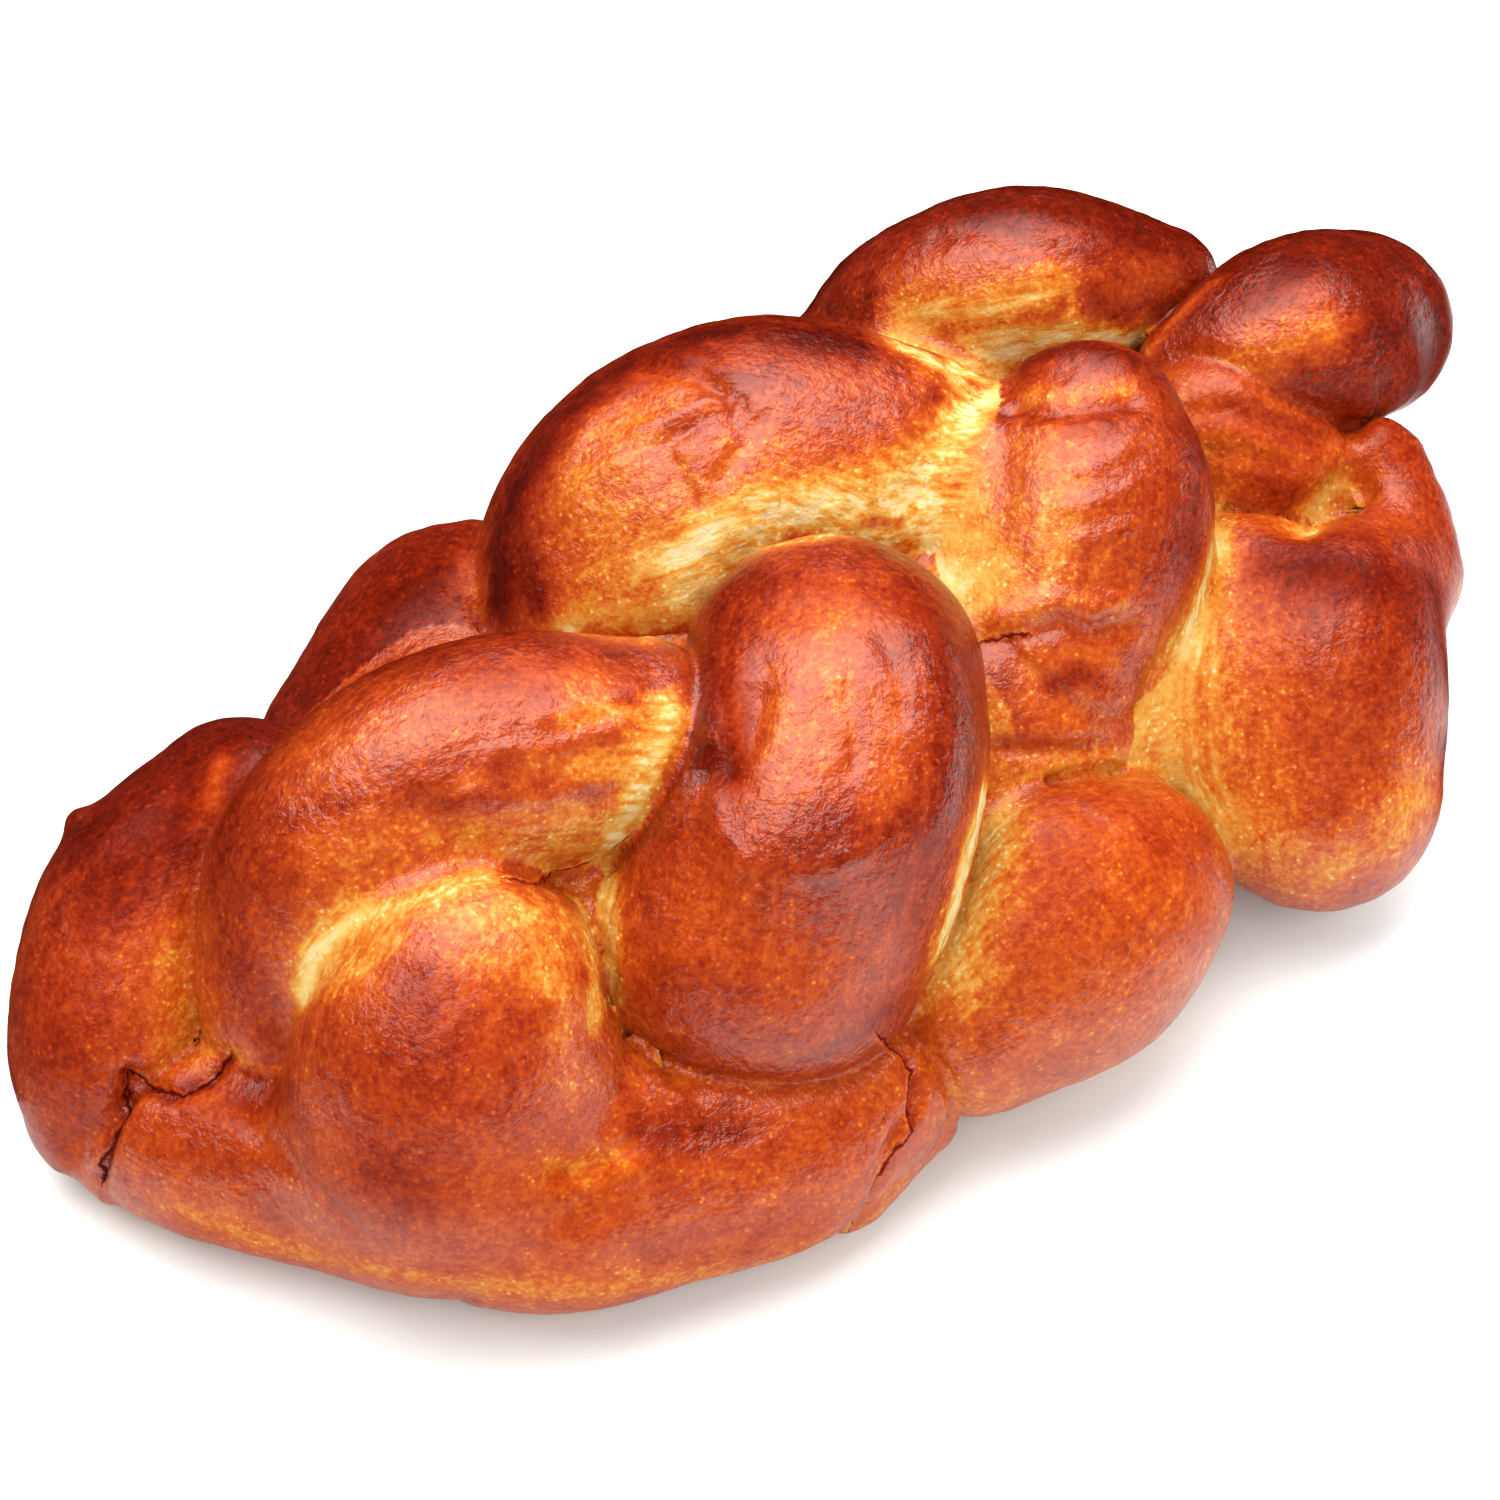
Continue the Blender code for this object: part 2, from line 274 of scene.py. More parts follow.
def joined_crust():
    """The lobes joined into one even mesh of small squares, in the layout's millimetres."""
    points, faces = lofted_lobes()
    mesh = bpy.data.meshes.new("lobes")
    mesh.from_pydata(points.tolist(), [], faces)
    lobes = linked("lobes", mesh)
    join = lobes.modifiers.new("join", "REMESH")
    join.mode = "VOXEL"
    join.voxel_size = CRUST_CELL
    graph = bpy.context.evaluated_depsgraph_get()
    joined = bpy.data.meshes.new_from_object(lobes.evaluated_get(graph))
    points, squares = mesh_arrays(joined)
    bpy.data.objects.remove(lobes, do_unlink=True)
    bpy.data.meshes.remove(mesh)
    bpy.data.meshes.remove(joined)
    return points, squares


def lobe_field(points):
    """For each point: how far it is outside every lobe, and which way each lobe faces there."""
    count = len(points)
    gaps = np.full((len(SECTIONS), count), FAR_OFF, np.float32)
    facing = np.zeros((len(SECTIONS), count, 3), np.float32)
    for number, (places, axes, sizes) in enumerate(SECTIONS):
        reach = sizes.max() + WIDEST_MELT
        near = np.all((points > places.min(0) - reach) & (points < places.max(0) + reach), axis=1)
        spots = points[near]
        best = np.full(len(spots), FAR_OFF)
        best_facing = np.zeros((len(spots), 3))
        for place, axis, size in zip(places, axes, sizes):
            scaled = (spots - place) @ axis.T / size
            ratio = np.linalg.norm(scaled, axis=1)
            slope = np.linalg.norm(scaled / size, axis=1)
            gap = ratio * (ratio - 1) / np.maximum(slope, 1e-6)
            closer = gap < best
            best[closer] = gap[closer]
            best_facing[closer] = ((scaled / size) @ axis)[closer]
        gaps[number, near] = best
        facing[number, near] = unit(best_facing)
    return gaps, facing


# A section counts towards a point's place on its strand when it is less than this much further
# off than the nearest section, as a share of the lobe's size.
SECTION_MARGIN = 0.25

# Millimetres between the places on one strand and on the next, so that their grains differ.
STRAND_APART = 37.0


def strand_places(points, owner):
    """Where each point lies on its own strand: along it, to its side and outward, in millimetres."""
    found = np.zeros_like(points)
    for number, (places, axes, sizes) in enumerate(SECTIONS):
        mine = np.flatnonzero(owner == number)
        if not len(mine):
            continue
        steps = np.linalg.norm(np.diff(places, axis=0), axis=1)
        reached = np.concatenate([[0], np.cumsum(steps)])
        local = np.einsum("psk,sak->psa", points[mine, None] - places, axes)
        gap = np.linalg.norm(local / sizes, axis=2)
        counted = gap < gap.min(1, keepdims=True) + SECTION_MARGIN
        off = np.where(counted, local[..., 0] ** 2, np.inf)
        weight = np.exp((off.min(1, keepdims=True) - off) / SECTION_STEP ** 2)
        weight /= weight.sum(1, keepdims=True)
        local[..., 0] += reached
        found[mine] = (local * weight[..., None]).sum(1) + STRAND_APART * number
    return found


def two_nearest(gaps):
    """The two nearest lobes of each point and their gaps."""
    order = np.argpartition(gaps, 1, axis=0)[:2]
    pair = np.take_along_axis(gaps, order, axis=0)
    swap = pair[0] > pair[1]
    order[:, swap] = order[::-1, swap]
    pair[:, swap] = pair[::-1, swap]
    return order[0], order[1], pair[0], pair[1]


def melt_together(points):
    """Moves the crust onto the smooth minimum of the gaps to the two nearest lobes."""
    each = np.arange(len(points))
    for _ in range(MELT_ROUNDS):
        gaps, facing = lobe_field(points)
        first, second, near, far = two_nearest(gaps)
        width = MELT_WIDTHS[first, second]
        overlap = np.clip(1 - (far - near) / width, 0, 1)
        level = near - 0.25 * width * overlap ** 2
        share = (0.5 * overlap)[:, None]
        way = unit(facing[first, each] * (1 - share) + facing[second, each] * share)
        points = points - way * level[:, None]
    return points


def neighbours_mean(points, squares):
    """The mean of each point's neighbours along the mesh's edges."""
    total = np.zeros_like(points)
    count = np.zeros(len(points))
    for side in range(4):
        one, other = squares[:, side], squares[:, (side + 1) % 4]
        for axis in range(3):
            total[:, axis] += np.bincount(one, points[other, axis], len(points))
            total[:, axis] += np.bincount(other, points[one, axis], len(points))
        count += np.bincount(one, minlength=len(points)) + np.bincount(other, minlength=len(points))
    return total / np.maximum(count, 1)[:, None]


def facings(points, squares):
    """The outward direction of the crust at each point."""
    a, b, c, d = (points[squares[:, side]] for side in range(4))
    normal = np.cross(c - a, d - b)
    total = np.zeros_like(points)
    for side in range(4):
        for axis in range(3):
            total[:, axis] += np.bincount(squares[:, side], normal[:, axis], len(points))
    return unit(total)


# Whole numbers that mix a grid corner's place and the seed into its slope, and the noise's gain.
NOISE_KEYS = (73856093, 19349663, 83492791, 2654435)
NOISE_SHIFTS = (0, 7, 15)
NOISE_MIX = 48271
NOISE_STEPS = 2039
NOISE_GAIN = 1.4


def noise(points, seed):
    """Smooth noise of about -1 to 1, with one bump to each unit of length."""
    a, b, c, d = NOISE_KEYS
    cell = np.floor(points).astype(np.int64)
    local = points - cell
    fade = local ** 3 * (local * (6 * local - 15) + 10)
    total = np.zeros(len(points))
    for corner in itertools.product((0, 1), repeat=3):
        corner = np.array(corner)
        spot = cell + corner
        key = spot[:, 0] * a ^ spot[:, 1] * b ^ spot[:, 2] * c ^ seed * d
        drawn = np.stack([(key >> shift) * NOISE_MIX % NOISE_STEPS for shift in NOISE_SHIFTS], axis=1)
        slopes = drawn / (NOISE_STEPS / 2) - 1
        weight = np.prod(np.where(corner, fade, 1 - fade), axis=1)
        total += weight * (slopes * (local - corner)).sum(1)
    return total * NOISE_GAIN


def camera_axes():
    """The camera's place and its right, up and backward directions, on the layout."""
    turn, tilt = math.radians(CAMERA_AZIMUTH), math.radians(CAMERA_ELEVATION)
    back = np.array([math.sin(turn) * math.cos(tilt), -math.cos(turn) * math.cos(tilt),
                     math.sin(tilt)])
    right = np.array([math.cos(turn), math.sin(turn), 0.0])
    return np.array(CAMERA_TARGET) + back * CAMERA_DISTANCE, right, np.cross(back, right), back


# Pixels between the places where a path is laid on the crust, and how many half widths away from
# it a path still counts.
PATH_SPACING = 5.0
PATH_REACH = 2.6

# A stroke touches the lobes that hold at least this share of its path.
CROSSED_SHARE = 0.2


class PhotoPaths:
    """Lays paths read off the photo, in its pixels, onto the crust along the camera's rays."""

    def __init__(self, points, squares, owner):
        self.points = points
        self.owner = owner
        self.squares = squares
        self.tree = BVHTree.FromPolygons(points.tolist(), squares.tolist())
        self.eye, self.right, self.up, self.back = camera_axes()
        self.focal = CAMERA_LENS / CAMERA_SENSOR * PHOTO_PIXELS

    def land(self, x, y):
        """The crust point under a pixel, and the lobe it belongs to."""
        middle = PHOTO_PIXELS / 2
        ray = (self.right * (x - middle) - self.up * (y - middle)) / self.focal - self.back
        spot, _, face, _ = self.tree.ray_cast(Vector(self.eye), Vector(ray))
        if spot is None:
            return None, None
        return np.array(spot), self.owner[self.squares[face, 0]]

    def laid(self, path, spacing=PATH_SPACING):
        """Crust points along a path of pixels, and the lobes that it crosses."""
        pixels = []
        for (x0, y0), (x1, y1) in zip(path, path[1:] or path):
            steps = max(1, round(math.hypot(x1 - x0, y1 - y0) / spacing))
            pixels += [(x0 + (x1 - x0) * t / steps, y0 + (y1 - y0) * t / steps)
                       for t in range(steps)]
        pixels.append(path[-1])
        landed = [self.land(x, y) for x, y in pixels]
        spots = [spot for spot, _ in landed if spot is not None]
        crossed = [lobe for _, lobe in landed if lobe is not None]
        lobes = {lobe for lobe in crossed if crossed.count(lobe) >= CROSSED_SHARE * len(crossed)}
        return np.array(spots), lobes

    def closeness(self, path, width, own_lobes=False):
        """How close each crust point is to the path: 1 on it, falling off over the width."""
        spots, lobes = self.laid(path)
        value = np.zeros(len(self.points))
        if not len(spots):
            return value
        low = spots.min(0) - PATH_REACH * width
        high = spots.max(0) + PATH_REACH * width
        near = np.all((self.points > low) & (self.points < high), axis=1)
        if own_lobes:
            near &= MELT_WIDTHS[self.owner][:, list(lobes)].max(1) >= FAMILY_MELT
        crust = self.points[near]
        least = np.full(len(crust), np.inf)
        for spot in spots:
            least = np.minimum(least, ((crust - spot) ** 2).sum(1))
        value[near] = np.exp(-least / width ** 2)
        return value

    def beside(self, paths, facing):
        """For each crust point: millimetres to the left of the nearest path, and the closeness."""
        aside = np.full(len(self.points), CRACK_REACH)
        least = np.full(len(self.points), CRACK_REACH)
        for path in paths:
            spots = self.laid(path, CRACK_SPACING)[0]
            for start, end in zip(spots, spots[1:]):
                near = np.flatnonzero(np.all(np.abs(self.points - start) < CRACK_REACH, axis=1))
                line = end - start
                local = self.points[near] - start
                share = np.clip(local @ line / max(line @ line, 1e-6), 0, 1)
                local = local - share[:, None] * line
                away = np.linalg.norm(local, axis=1)
                closer = away < least[near]
                left = np.sign((np.cross(facing[near], line) * local).sum(1))
                least[near[closer]] = away[closer]
                aside[near[closer]] = (away * left)[closer]
        return aside, smooth_step(*CRACK_FADE, least)


# Paths at the near end that are creases as well as dark lines of painted shade, in the photo's pixels.
END_CRACK = [(130, 1076), (172, 1094), (205, 1080), (226, 1058)]
END_CRACK_DOWN = [(131, 1076), (122, 1110), (108, 1142), (98, 1180)]

# Creases, lips and dents of the crust: a half width and a rise in millimetres, where a negative
# rise is a crease, and a path in the photo's pixels.
RELIEF = dict(
    far_crest_groove=(2.6, -2.2, (1012, 408), (1052, 411), (1107, 407), (1130, 402)),
    far_crest_upper_ridge=(4, 1, (1030, 362), (1075, 350), (1120, 362)),
    far_crest_lower_ridge=(3.5, 0.8, (1000, 418), (1060, 424), (1122, 408)),
    far_crest_crease=(2.2, -1.3, (985, 640), (1020, 634), (1062, 622), (1092, 634), (1124, 622)),
    far_crest_lip=(2.6, 1.2, (1000, 622), (1030, 612), (1062, 602), (1090, 612), (1120, 604)),
    far_flank_groove=(4.5, -1, (1000, 460), (1000, 520), (980, 560)),
    valley=(5, -2.6, (985, 388), (962, 412), (940, 450), (922, 492)),
    middle_crest_notch=(3.6, -1.5, (752, 700), (746, 740), (728, 766), (704, 772)),
    middle_crest_hook=(2, 0.7, (716, 796), (724, 830), (744, 862)),
    middle_crest_fold=(2.2, 0.9, (800, 870), (826, 864), (850, 850)),
    middle_crest_edge=(3, -0.7, (762, 660), (760, 700), (750, 738)),
    middle_crest_belly=(10, 2.6, (770, 856), (840, 852)),
    near_crest_crease=(4, -1.6, (420, 815), (445, 838), (468, 852)),
    near_crest_end_crease=(2.5, -1.1, (520, 870), (548, 880), (600, 864)),
    back_crest_crease=(1.9, -1.4, (700, 372), (722, 389), (738, 403), (736, 420)),
    back_crest_crease_two=(1.9, -1.1, (648, 366), (690, 376), (720, 388)),
    back_crest_long_crease=(1.7, -1, (738, 403), (700, 420), (662, 446), (680, 479), (695, 504)),
    back_crest_fork=(1.7, -0.9, (757, 421), (740, 450), (720, 479)),
    far_back_crease=(2.6, -1.2, (1005, 240), (1050, 246), (1062, 262), (1070, 300)),
    far_back_crease_two=(3, -0.9, (940, 235), (975, 228), (1010, 226)),
    far_back_low_groove=(3, -1.6, (925, 332), (945, 348), (955, 362)),
    knob_under_crease=(2, -1.6, (1196, 412), (1232, 408), (1275, 424), (1330, 440)),
    knob_notch=(2.6, -1.4, (1378, 390), (1368, 412), (1352, 432)),
    under_knob_wrinkle=(1.8, -1, (1218, 452), (1250, 458), (1288, 466)),
    pocket=(5, -3.5, (1300, 522), (1320, 512), (1345, 490)),
    end_crack=(1.8, -1.8, *END_CRACK),
    end_crack_down=(1.6, -2, *END_CRACK_DOWN),
    end_nub=(3.4, 2.3, (80, 822)),
    far_crest_wrinkle=(1.6, 0.6, (1078, 470), (1104, 460), (1126, 448)),
    far_crest_wrinkle_two=(1.6, 0.6, (1066, 510), (1100, 500), (1134, 488)),
    far_crest_wrinkle_three=(1.6, 0.5, (1080, 542), (1106, 534), (1130, 526)),
    far_crest_bottom=(1.8, -1.6, (1000, 748), (1053, 752), (1104, 748)),
    near_crest_wrinkle=(1.6, 0.6, (498, 752), (560, 748), (620, 728)),
    near_crest_wrinkle_two=(1.6, 0.6, (470, 796), (540, 800), (600, 780)),
    near_crest_wrinkle_three=(1.6, 0.5, (520, 828), (570, 824), (616, 806)),
    back_crest_ridge=(2.4, 0.7, (560, 470), (590, 420), (640, 380)),
    back_crest_ridge_two=(2.2, 0.8, (640, 430), (690, 412), (730, 400)),
    foot_line=(2, -0.9, (243, 1118), (290, 1162), (325, 1206), (352, 1232)),
    foot_fold_crease=(1.8, -1.4, (555, 1176), (595, 1166), (632, 1150)),
    foot_fold_lip=(2.2, 1, (560, 1188), (600, 1180), (634, 1166)),
    split_crack=(1.5, -1.2, (908, 1060), (914, 1100), (890, 1150), (858, 1228)),
    foot_hollow=(4, -1, (640, 1120), (690, 1130), (740, 1128)),
    middle_crest_shoulder=(9, 2.8, (928, 650), (944, 720), (930, 810)),
    back_crest_hook=(1.8, 0.7, (572, 511), (590, 476), (615, 461)),
    back_crest_fold=(2, 0.8, (648, 354), (690, 362), (716, 372)),
    near_crest_wrinkle_four=(1.6, 0.5, (540, 716), (590, 706), (636, 690)),
    middle_crest_line=(1.5, -0.6, (846, 690), (856, 730), (852, 770)),
    middle_crest_line_two=(1.5, -0.5, (880, 640), (896, 680), (900, 720)),
    front_foot_wrinkle=(1.8, -0.7, (1046, 836), (1080, 850), (1118, 876)),
    front_foot_wrinkle_two=(1.8, -0.6, (1072, 806), (1104, 830), (1140, 846)),
    collar_top=(5, 2.2, (1390, 440), (1410, 446)),
    knob_foot=(6, 2.6, (1376, 400), (1404, 384)),
)

# Places where one strand runs into the next with no crease: a half width in millimetres and a path
# in the photo's pixels. In each round a point on a path moves this share of the way to the mean of
# its neighbours. The gain widens the places.
SMOOTHED = dict(
    near_crest_into_foot=(11, (300, 1110), (340, 1180), (400, 1225), (470, 1240)),
    near_crest_into_foot_right=(9, (480, 1230), (530, 1215), (560, 1200)),
    far_foot_into_web=(8, (1235, 560), (1222, 640), (1222, 720), (1240, 800)),
    middle_back_dome=(9, (600, 560), (700, 500), (820, 450), (900, 430)),
    far_crest_flank=(6, (1000, 500), (1000, 580)),
    valley=(8, (998, 392), (988, 430), (976, 480), (962, 540)),
)
SMOOTHING_ROUNDS = 70
SMOOTHING_SHARE = 0.5
SMOOTHING_GAIN = 1.6

# Places where the skin lies in fine wrinkles along the strand: a half width in millimetres and a
# path in the photo's pixels.
WRINKLED = dict(
    near_crest_right=(9, (500, 745), (560, 760), (620, 720)),
    near_crest_left=(7, (330, 760), (420, 720)),
    back_crest_left=(8, (575, 500), (620, 420), (700, 390)),
    back_crest_right=(6, (800, 400), (880, 420)),
    far_crest_right=(9, (1110, 420), (1112, 500), (1080, 560)),
    front_foot_top=(8, (1050, 820), (1110, 880)),
    front_foot_side=(7, (1180, 900), (1160, 980)),
    far_back_left=(7, (930, 260), (1030, 240)),
    under_knob=(7, (1210, 440), (1290, 462)),
    knob=(6, (1250, 340), (1330, 300)),
    near_end_right=(6, (188, 920), (204, 1010)),
    far_foot=(9, (1320, 660), (1360, 780)),
    middle_crest=(7, (820, 640), (880, 720), (860, 820)),
)

# Crust lighter or darker than its lobe: a half width in millimetres, the bake there and
# a path in the photo's pixels. Most rows are crust that baked so. The shine rows (not the one
# below the crest's shine), the middle back shoulder and the far crest's lip are painted highlights;
# the rows for the crest's notch and low edge, the hollow below it, the underside of the far
# crest's lip, the end cracks and the split line are painted shade. Later rows lie over earlier
# ones, and the edges are frayed.
SHADES = dict(
    middle_back_rim=(6, 0.98, (500, 600), (500, 540), (520, 480), (560, 420), (620, 370), (700, 338),
        (780, 332), (850, 345)),
    middle_back_top=(6, 0.6, (740, 360), (800, 375), (860, 390), (915, 415)),
    # Painted highlights: the dome's left shoulder made lighter where it catches the light.
    middle_back_shine=(8, 0.34, (575, 500), (610, 440), (660, 395)),
    middle_back_shoulder_highlight=(9, 0.29, (618, 460), (628, 520), (626, 565)),
    middle_back_gold=(9, 0.38, (590, 560), (640, 505), (700, 465), (770, 440), (830, 432), (890, 436)),
    middle_back_belly=(6, 0.11, (684, 562), (740, 515), (810, 492), (870, 475), (915, 460)),
    middle_back_fibres=(3, 0.05, (690, 560), (750, 527), (830, 510), (910, 496)),
    middle_back_low_gold=(4, 0.26, (560, 612), (600, 612), (640, 616)),
    middle_back_low_edge=(3, 0.1, (546, 620), (575, 634), (610, 640), (638, 642), (672, 630)),
    middle_back_by_the_crest=(4, 0.12, (690, 596), (735, 560), (780, 545), (840, 534), (890, 540)),
    middle_back_end=(8, 0.54, (830, 426), (880, 414), (930, 396)),
    middle_back_far_edge=(3, 0.14, (890, 336), (930, 347), (965, 360), (998, 376)),
    valley_between_crests=(5, 0.05, (1002, 386), (978, 404), (962, 434), (948, 464), (930, 496)),
    far_crest_right=(7, 0.76, (1170, 380), (1194, 440), (1198, 500), (1176, 570)),
    far_crest_ridge=(4, 0.9, (1022, 362), (1050, 352), (1085, 350), (1125, 362)),
    far_crest_groove=(3, 0.24, (1030, 396), (1075, 398), (1122, 390)),
    far_crest_second_ridge=(3, 0.7, (1000, 414), (1068, 418), (1124, 408)),
    far_crest_flank=(9, 0.17, (955, 470), (958, 530), (985, 580)),
    far_crest_flank_edge=(2.6, 0.06, (925, 500), (932, 550), (958, 590)),
    # Painted highlight along the lip, and painted shade under it.
    far_crest_lip=(2, 0.34, (985, 626), (1025, 616), (1062, 603), (1121, 608)),
    far_crest_under_lip_painted_shade=(3.4, 0.56, (988, 655), (1060, 636), (1120, 636)),
    far_crest_low=(8, 0.37, (1020, 700), (1080, 690), (1130, 680)),
    far_crest_spots=(2.6, 0.76, (1055, 685), (1085, 676), (1115, 695)),
    far_crest_low_edge=(4, 0.44, (1000, 718), (1053, 718), (1107, 712)),
    far_crest_bottom=(1.6, 0.62, (1000, 747), (1053, 750), (1100, 746)),
    web=(10, 0.26, (1238, 560), (1222, 620), (1204, 680), (1180, 740)),
    web_fibres=(4.4, 0.06, (1222, 530), (1204, 590), (1182, 640)),
    web_foot=(5, 0.18, (1140, 762), (1200, 792), (1240, 850)),
    web_corner=(3, 0.22, (1108, 748), (1150, 762)),
    far_foot_left=(5.5, 0.38, (1262, 600), (1256, 680), (1262, 760), (1275, 830)),
    far_foot_low=(8, 0.29, (1270, 850), (1320, 875), (1380, 850), (1420, 790)),
    far_foot_ridge=(3, 0.46, (1255, 528), (1335, 546), (1390, 562)),
    far_foot_dark=(9, 0.84, (1296, 552), (1340, 566), (1390, 582), (1428, 606)),
    far_foot_dark_side=(6, 0.8, (1432, 590), (1448, 680), (1444, 750)),
    pocket=(3.8, 0.19, (1300, 525), (1320, 512), (1345, 490)),
    collar_streaks=(4, 0.52, (1356, 450), (1388, 480), (1405, 520)),
    collar=(5, 0.62, (1430, 470), (1455, 545)),
    under_knob=(5, 0.38, (1216, 450), (1250, 460), (1290, 470)),
    under_knob_low=(4, 0.66, (1262, 484), (1290, 496)),
    under_knob_gold=(3, 0.46, (1236, 508), (1262, 520), (1290, 524)),
    # Painted highlight on the knob.
    knob_shine=(8, 0.38, (1235, 365), (1270, 342), (1318, 328)),
    knob_top=(8, 0.88, (1280, 248), (1345, 240), (1410, 268), (1440, 330)),
    knob_low=(4, 0.62, (1240, 412), (1310, 434), (1380, 410)),
    knob_seam=(2.4, 0.44, (1150, 350), (1176, 318), (1210, 285)),
    # Painted highlight on the far back strand.
    far_back_shine=(5.5, 0.56, (900, 275), (950, 255), (1000, 244), (1050, 246)),
    far_back_rim=(7, 0.88, (815, 300), (855, 245), (930, 205), (1020, 194), (1100, 206), (1165, 245)),
    far_back_gold=(7, 0.19, (905, 320), (945, 314), (990, 304), (1045, 290)),
    far_back_edge=(5, 0.06, (900, 346), (952, 366), (1004, 352), (1060, 334), (1100, 340), (1140, 342)),
    far_back_crack=(1.8, 0.2, (1072, 285), (1074, 330)),
    crest_top=(7, 0.74, (720, 612), (750, 582), (800, 562), (860, 566), (915, 602)),
    crest_left=(5.5, 0.82, (722, 620), (712, 680), (720, 745)),
    # Painted highlight down the middle of the crest.
    crest_shine=(13, 0.4, (824, 620), (818, 690), (808, 770)),
    crest_right=(6, 0.8, (940, 640), (968, 700), (962, 775)),
    crest_below_shine=(5, 0.74, (790, 862), (815, 835), (900, 805)),
    crest_low=(13, 0.5, (700, 900), (760, 950), (840, 980)),
    # Painted shade in the notch and under the crest's low edge.
    crest_notch_painted_shade=(3, 0.84, (704, 754), (728, 768)),
    crest_low_edge_painted_shade=(2.4, 0.66, (690, 1064), (760, 1074), (830, 1052), (890, 1012)),
    crest_left_edge=(2.2, 0.54, (640, 860), (622, 900), (622, 960)),
    near_crest_rim=(6, 0.74, (222, 860), (232, 800), (270, 740), (330, 690), (400, 656), (480, 642),
        (560, 642), (620, 652)),
    near_crest_side=(6, 0.66, (215, 900), (228, 950), (250, 1005)),
    near_crest_gold_end=(11, 0.27, (594, 728), (572, 788), (545, 840)),
    near_crest_torn_end=(4.4, 0.08, (668, 716), (655, 750), (638, 794), (608, 852)),
    # Painted highlight on the near crest.
    near_crest_shine=(9, 0.44, (330, 760), (390, 724), (470, 704)),
    near_crest_streak=(2, 0.5, (500, 738), (560, 742), (612, 734)),
    near_crest_streak_two=(2.2, 0.52, (476, 776), (540, 786), (596, 792)),
    near_crest_dimple=(3.4, 0.6, (425, 812), (446, 832), (466, 846)),
    near_crest_gold_band=(6, 0.26, (306, 996), (314, 956), (352, 924), (402, 902), (482, 874)),
    near_crest_pale_band=(2.6, 0.05, (304, 994), (314, 956), (354, 924), (404, 904), (482, 876)),
    front_top=(8, 0.24, (350, 965), (405, 940), (480, 916), (550, 918)),
    front_middle=(9, 0.64, (425, 1000), (400, 1080), (392, 1170)),
    front_right=(5, 0.36, (562, 950), (568, 1080)),
    front_right_edge=(4, 0.18, (588, 910), (592, 960), (594, 1010)),
    front_seam=(4.2, 0.15, (604, 885), (612, 940), (609, 985)),
    front_fold=(3, 0.3, (556, 1166), (592, 1164), (632, 1150)),
    front_patch=(5, 0.68, (385, 1180), (412, 1190)),
    foot_strip=(1.8, 0.5, (640, 1098), (700, 1106), (755, 1098), (830, 1068)),
    # Painted shade in the hollow below the crest's low edge.
    foot_hollow_painted_shade=(3.6, 0.72, (644, 1126), (700, 1136), (742, 1128)),
    foot_left=(9, 0.56, (140, 1120), (200, 1155), (270, 1210)),
    foot_low_edge=(4.5, 0.32, (180, 1210), (300, 1256), (450, 1284), (600, 1288), (740, 1270),
        (840, 1236)),
    # Painted shade along the split.
    split_line_painted_shade=(1.5, 0.6, (905, 1057), (915, 1072), (910, 1130), (883, 1172), (851, 1230)),
    split_tip=(3, 0.32, (955, 1098), (985, 1108)),
    front_foot_gold=(8, 0.18, (998, 815), (978, 885), (948, 972)),
    front_foot_torn=(5.5, 0, (984, 800), (970, 850), (956, 900), (944, 940)),
    front_foot_top_gold=(5, 0.5, (1040, 792), (1120, 802), (1190, 850)),
    front_foot_top=(3, 0.32, (1000, 765), (1060, 760), (1112, 776)),
    front_foot_low_edge=(3, 0.38, (995, 1094), (1080, 1084), (1150, 1050), (1210, 990)),
    end_rim=(10, 0.92, (88, 830), (140, 780), (200, 742), (248, 716)),
    end_upper=(8, 0.84, (110, 890), (150, 840), (190, 790)),
    end_left=(5, 0.66, (32, 950), (26, 1020), (36, 1080)),
    end_gold=(2.2, 0.48, (222, 760), (212, 800)),
    end_low_gold=(4, 0.42, (196, 985), (206, 1045)),
    # Painted shade along the end cracks.
    end_crack=(1.4, 0.84, *END_CRACK),
    end_crack_down=(1.4, 0.84, *END_CRACK_DOWN),
    end_fold=(4, 0.7, (240, 1090), (285, 1094)),
    back_foot=(18, 0.86, (320, 680), (380, 610), (440, 560)),
    back_foot_by_the_crest=(4, 0.5, (470, 560), (478, 610)),
    middle_back_left_low=(4, 0.82, (518, 550), (530, 590), (538, 604)),
    far_back_right=(5, 0.56, (1110, 286), (1140, 278), (1175, 280)),
    far_back_left=(4, 0.78, (820, 318), (862, 312)),
    far_crest_middle=(7, 0.28, (1046, 450), (1056, 550)),
    # Painted highlight on the near end.
    near_end_shine=(8, 0.36, (166, 950), (180, 1040)),
    knob_right=(6, 0.84, (1405, 300), (1420, 360)),
    near_crest_low=(6, 0.36, (330, 856), (400, 838), (500, 850)),
    near_crest_side_low=(4, 0.6, (264, 1000), (270, 1040), (282, 1070)),
    web_fibres_low=(3, 0.18, (1166, 680), (1150, 705), (1130, 735)),
    far_crest_low_left=(4, 0.55, (1000, 660), (1006, 700), (1014, 730)),
    far_crest_low_right=(4, 0.52, (1128, 650), (1140, 690), (1124, 735)),
    # Painted highlight on both sides of the crest's shine.
    crest_shine_left=(4, 0.42, (778, 700), (780, 790)),
    crest_shine_right=(5, 0.44, (882, 690), (888, 790)),
    near_crest_under=(5, 0.27, (490, 856), (520, 862), (556, 854)),
    front_top_right=(6, 0.28, (480, 962), (540, 968)),
)

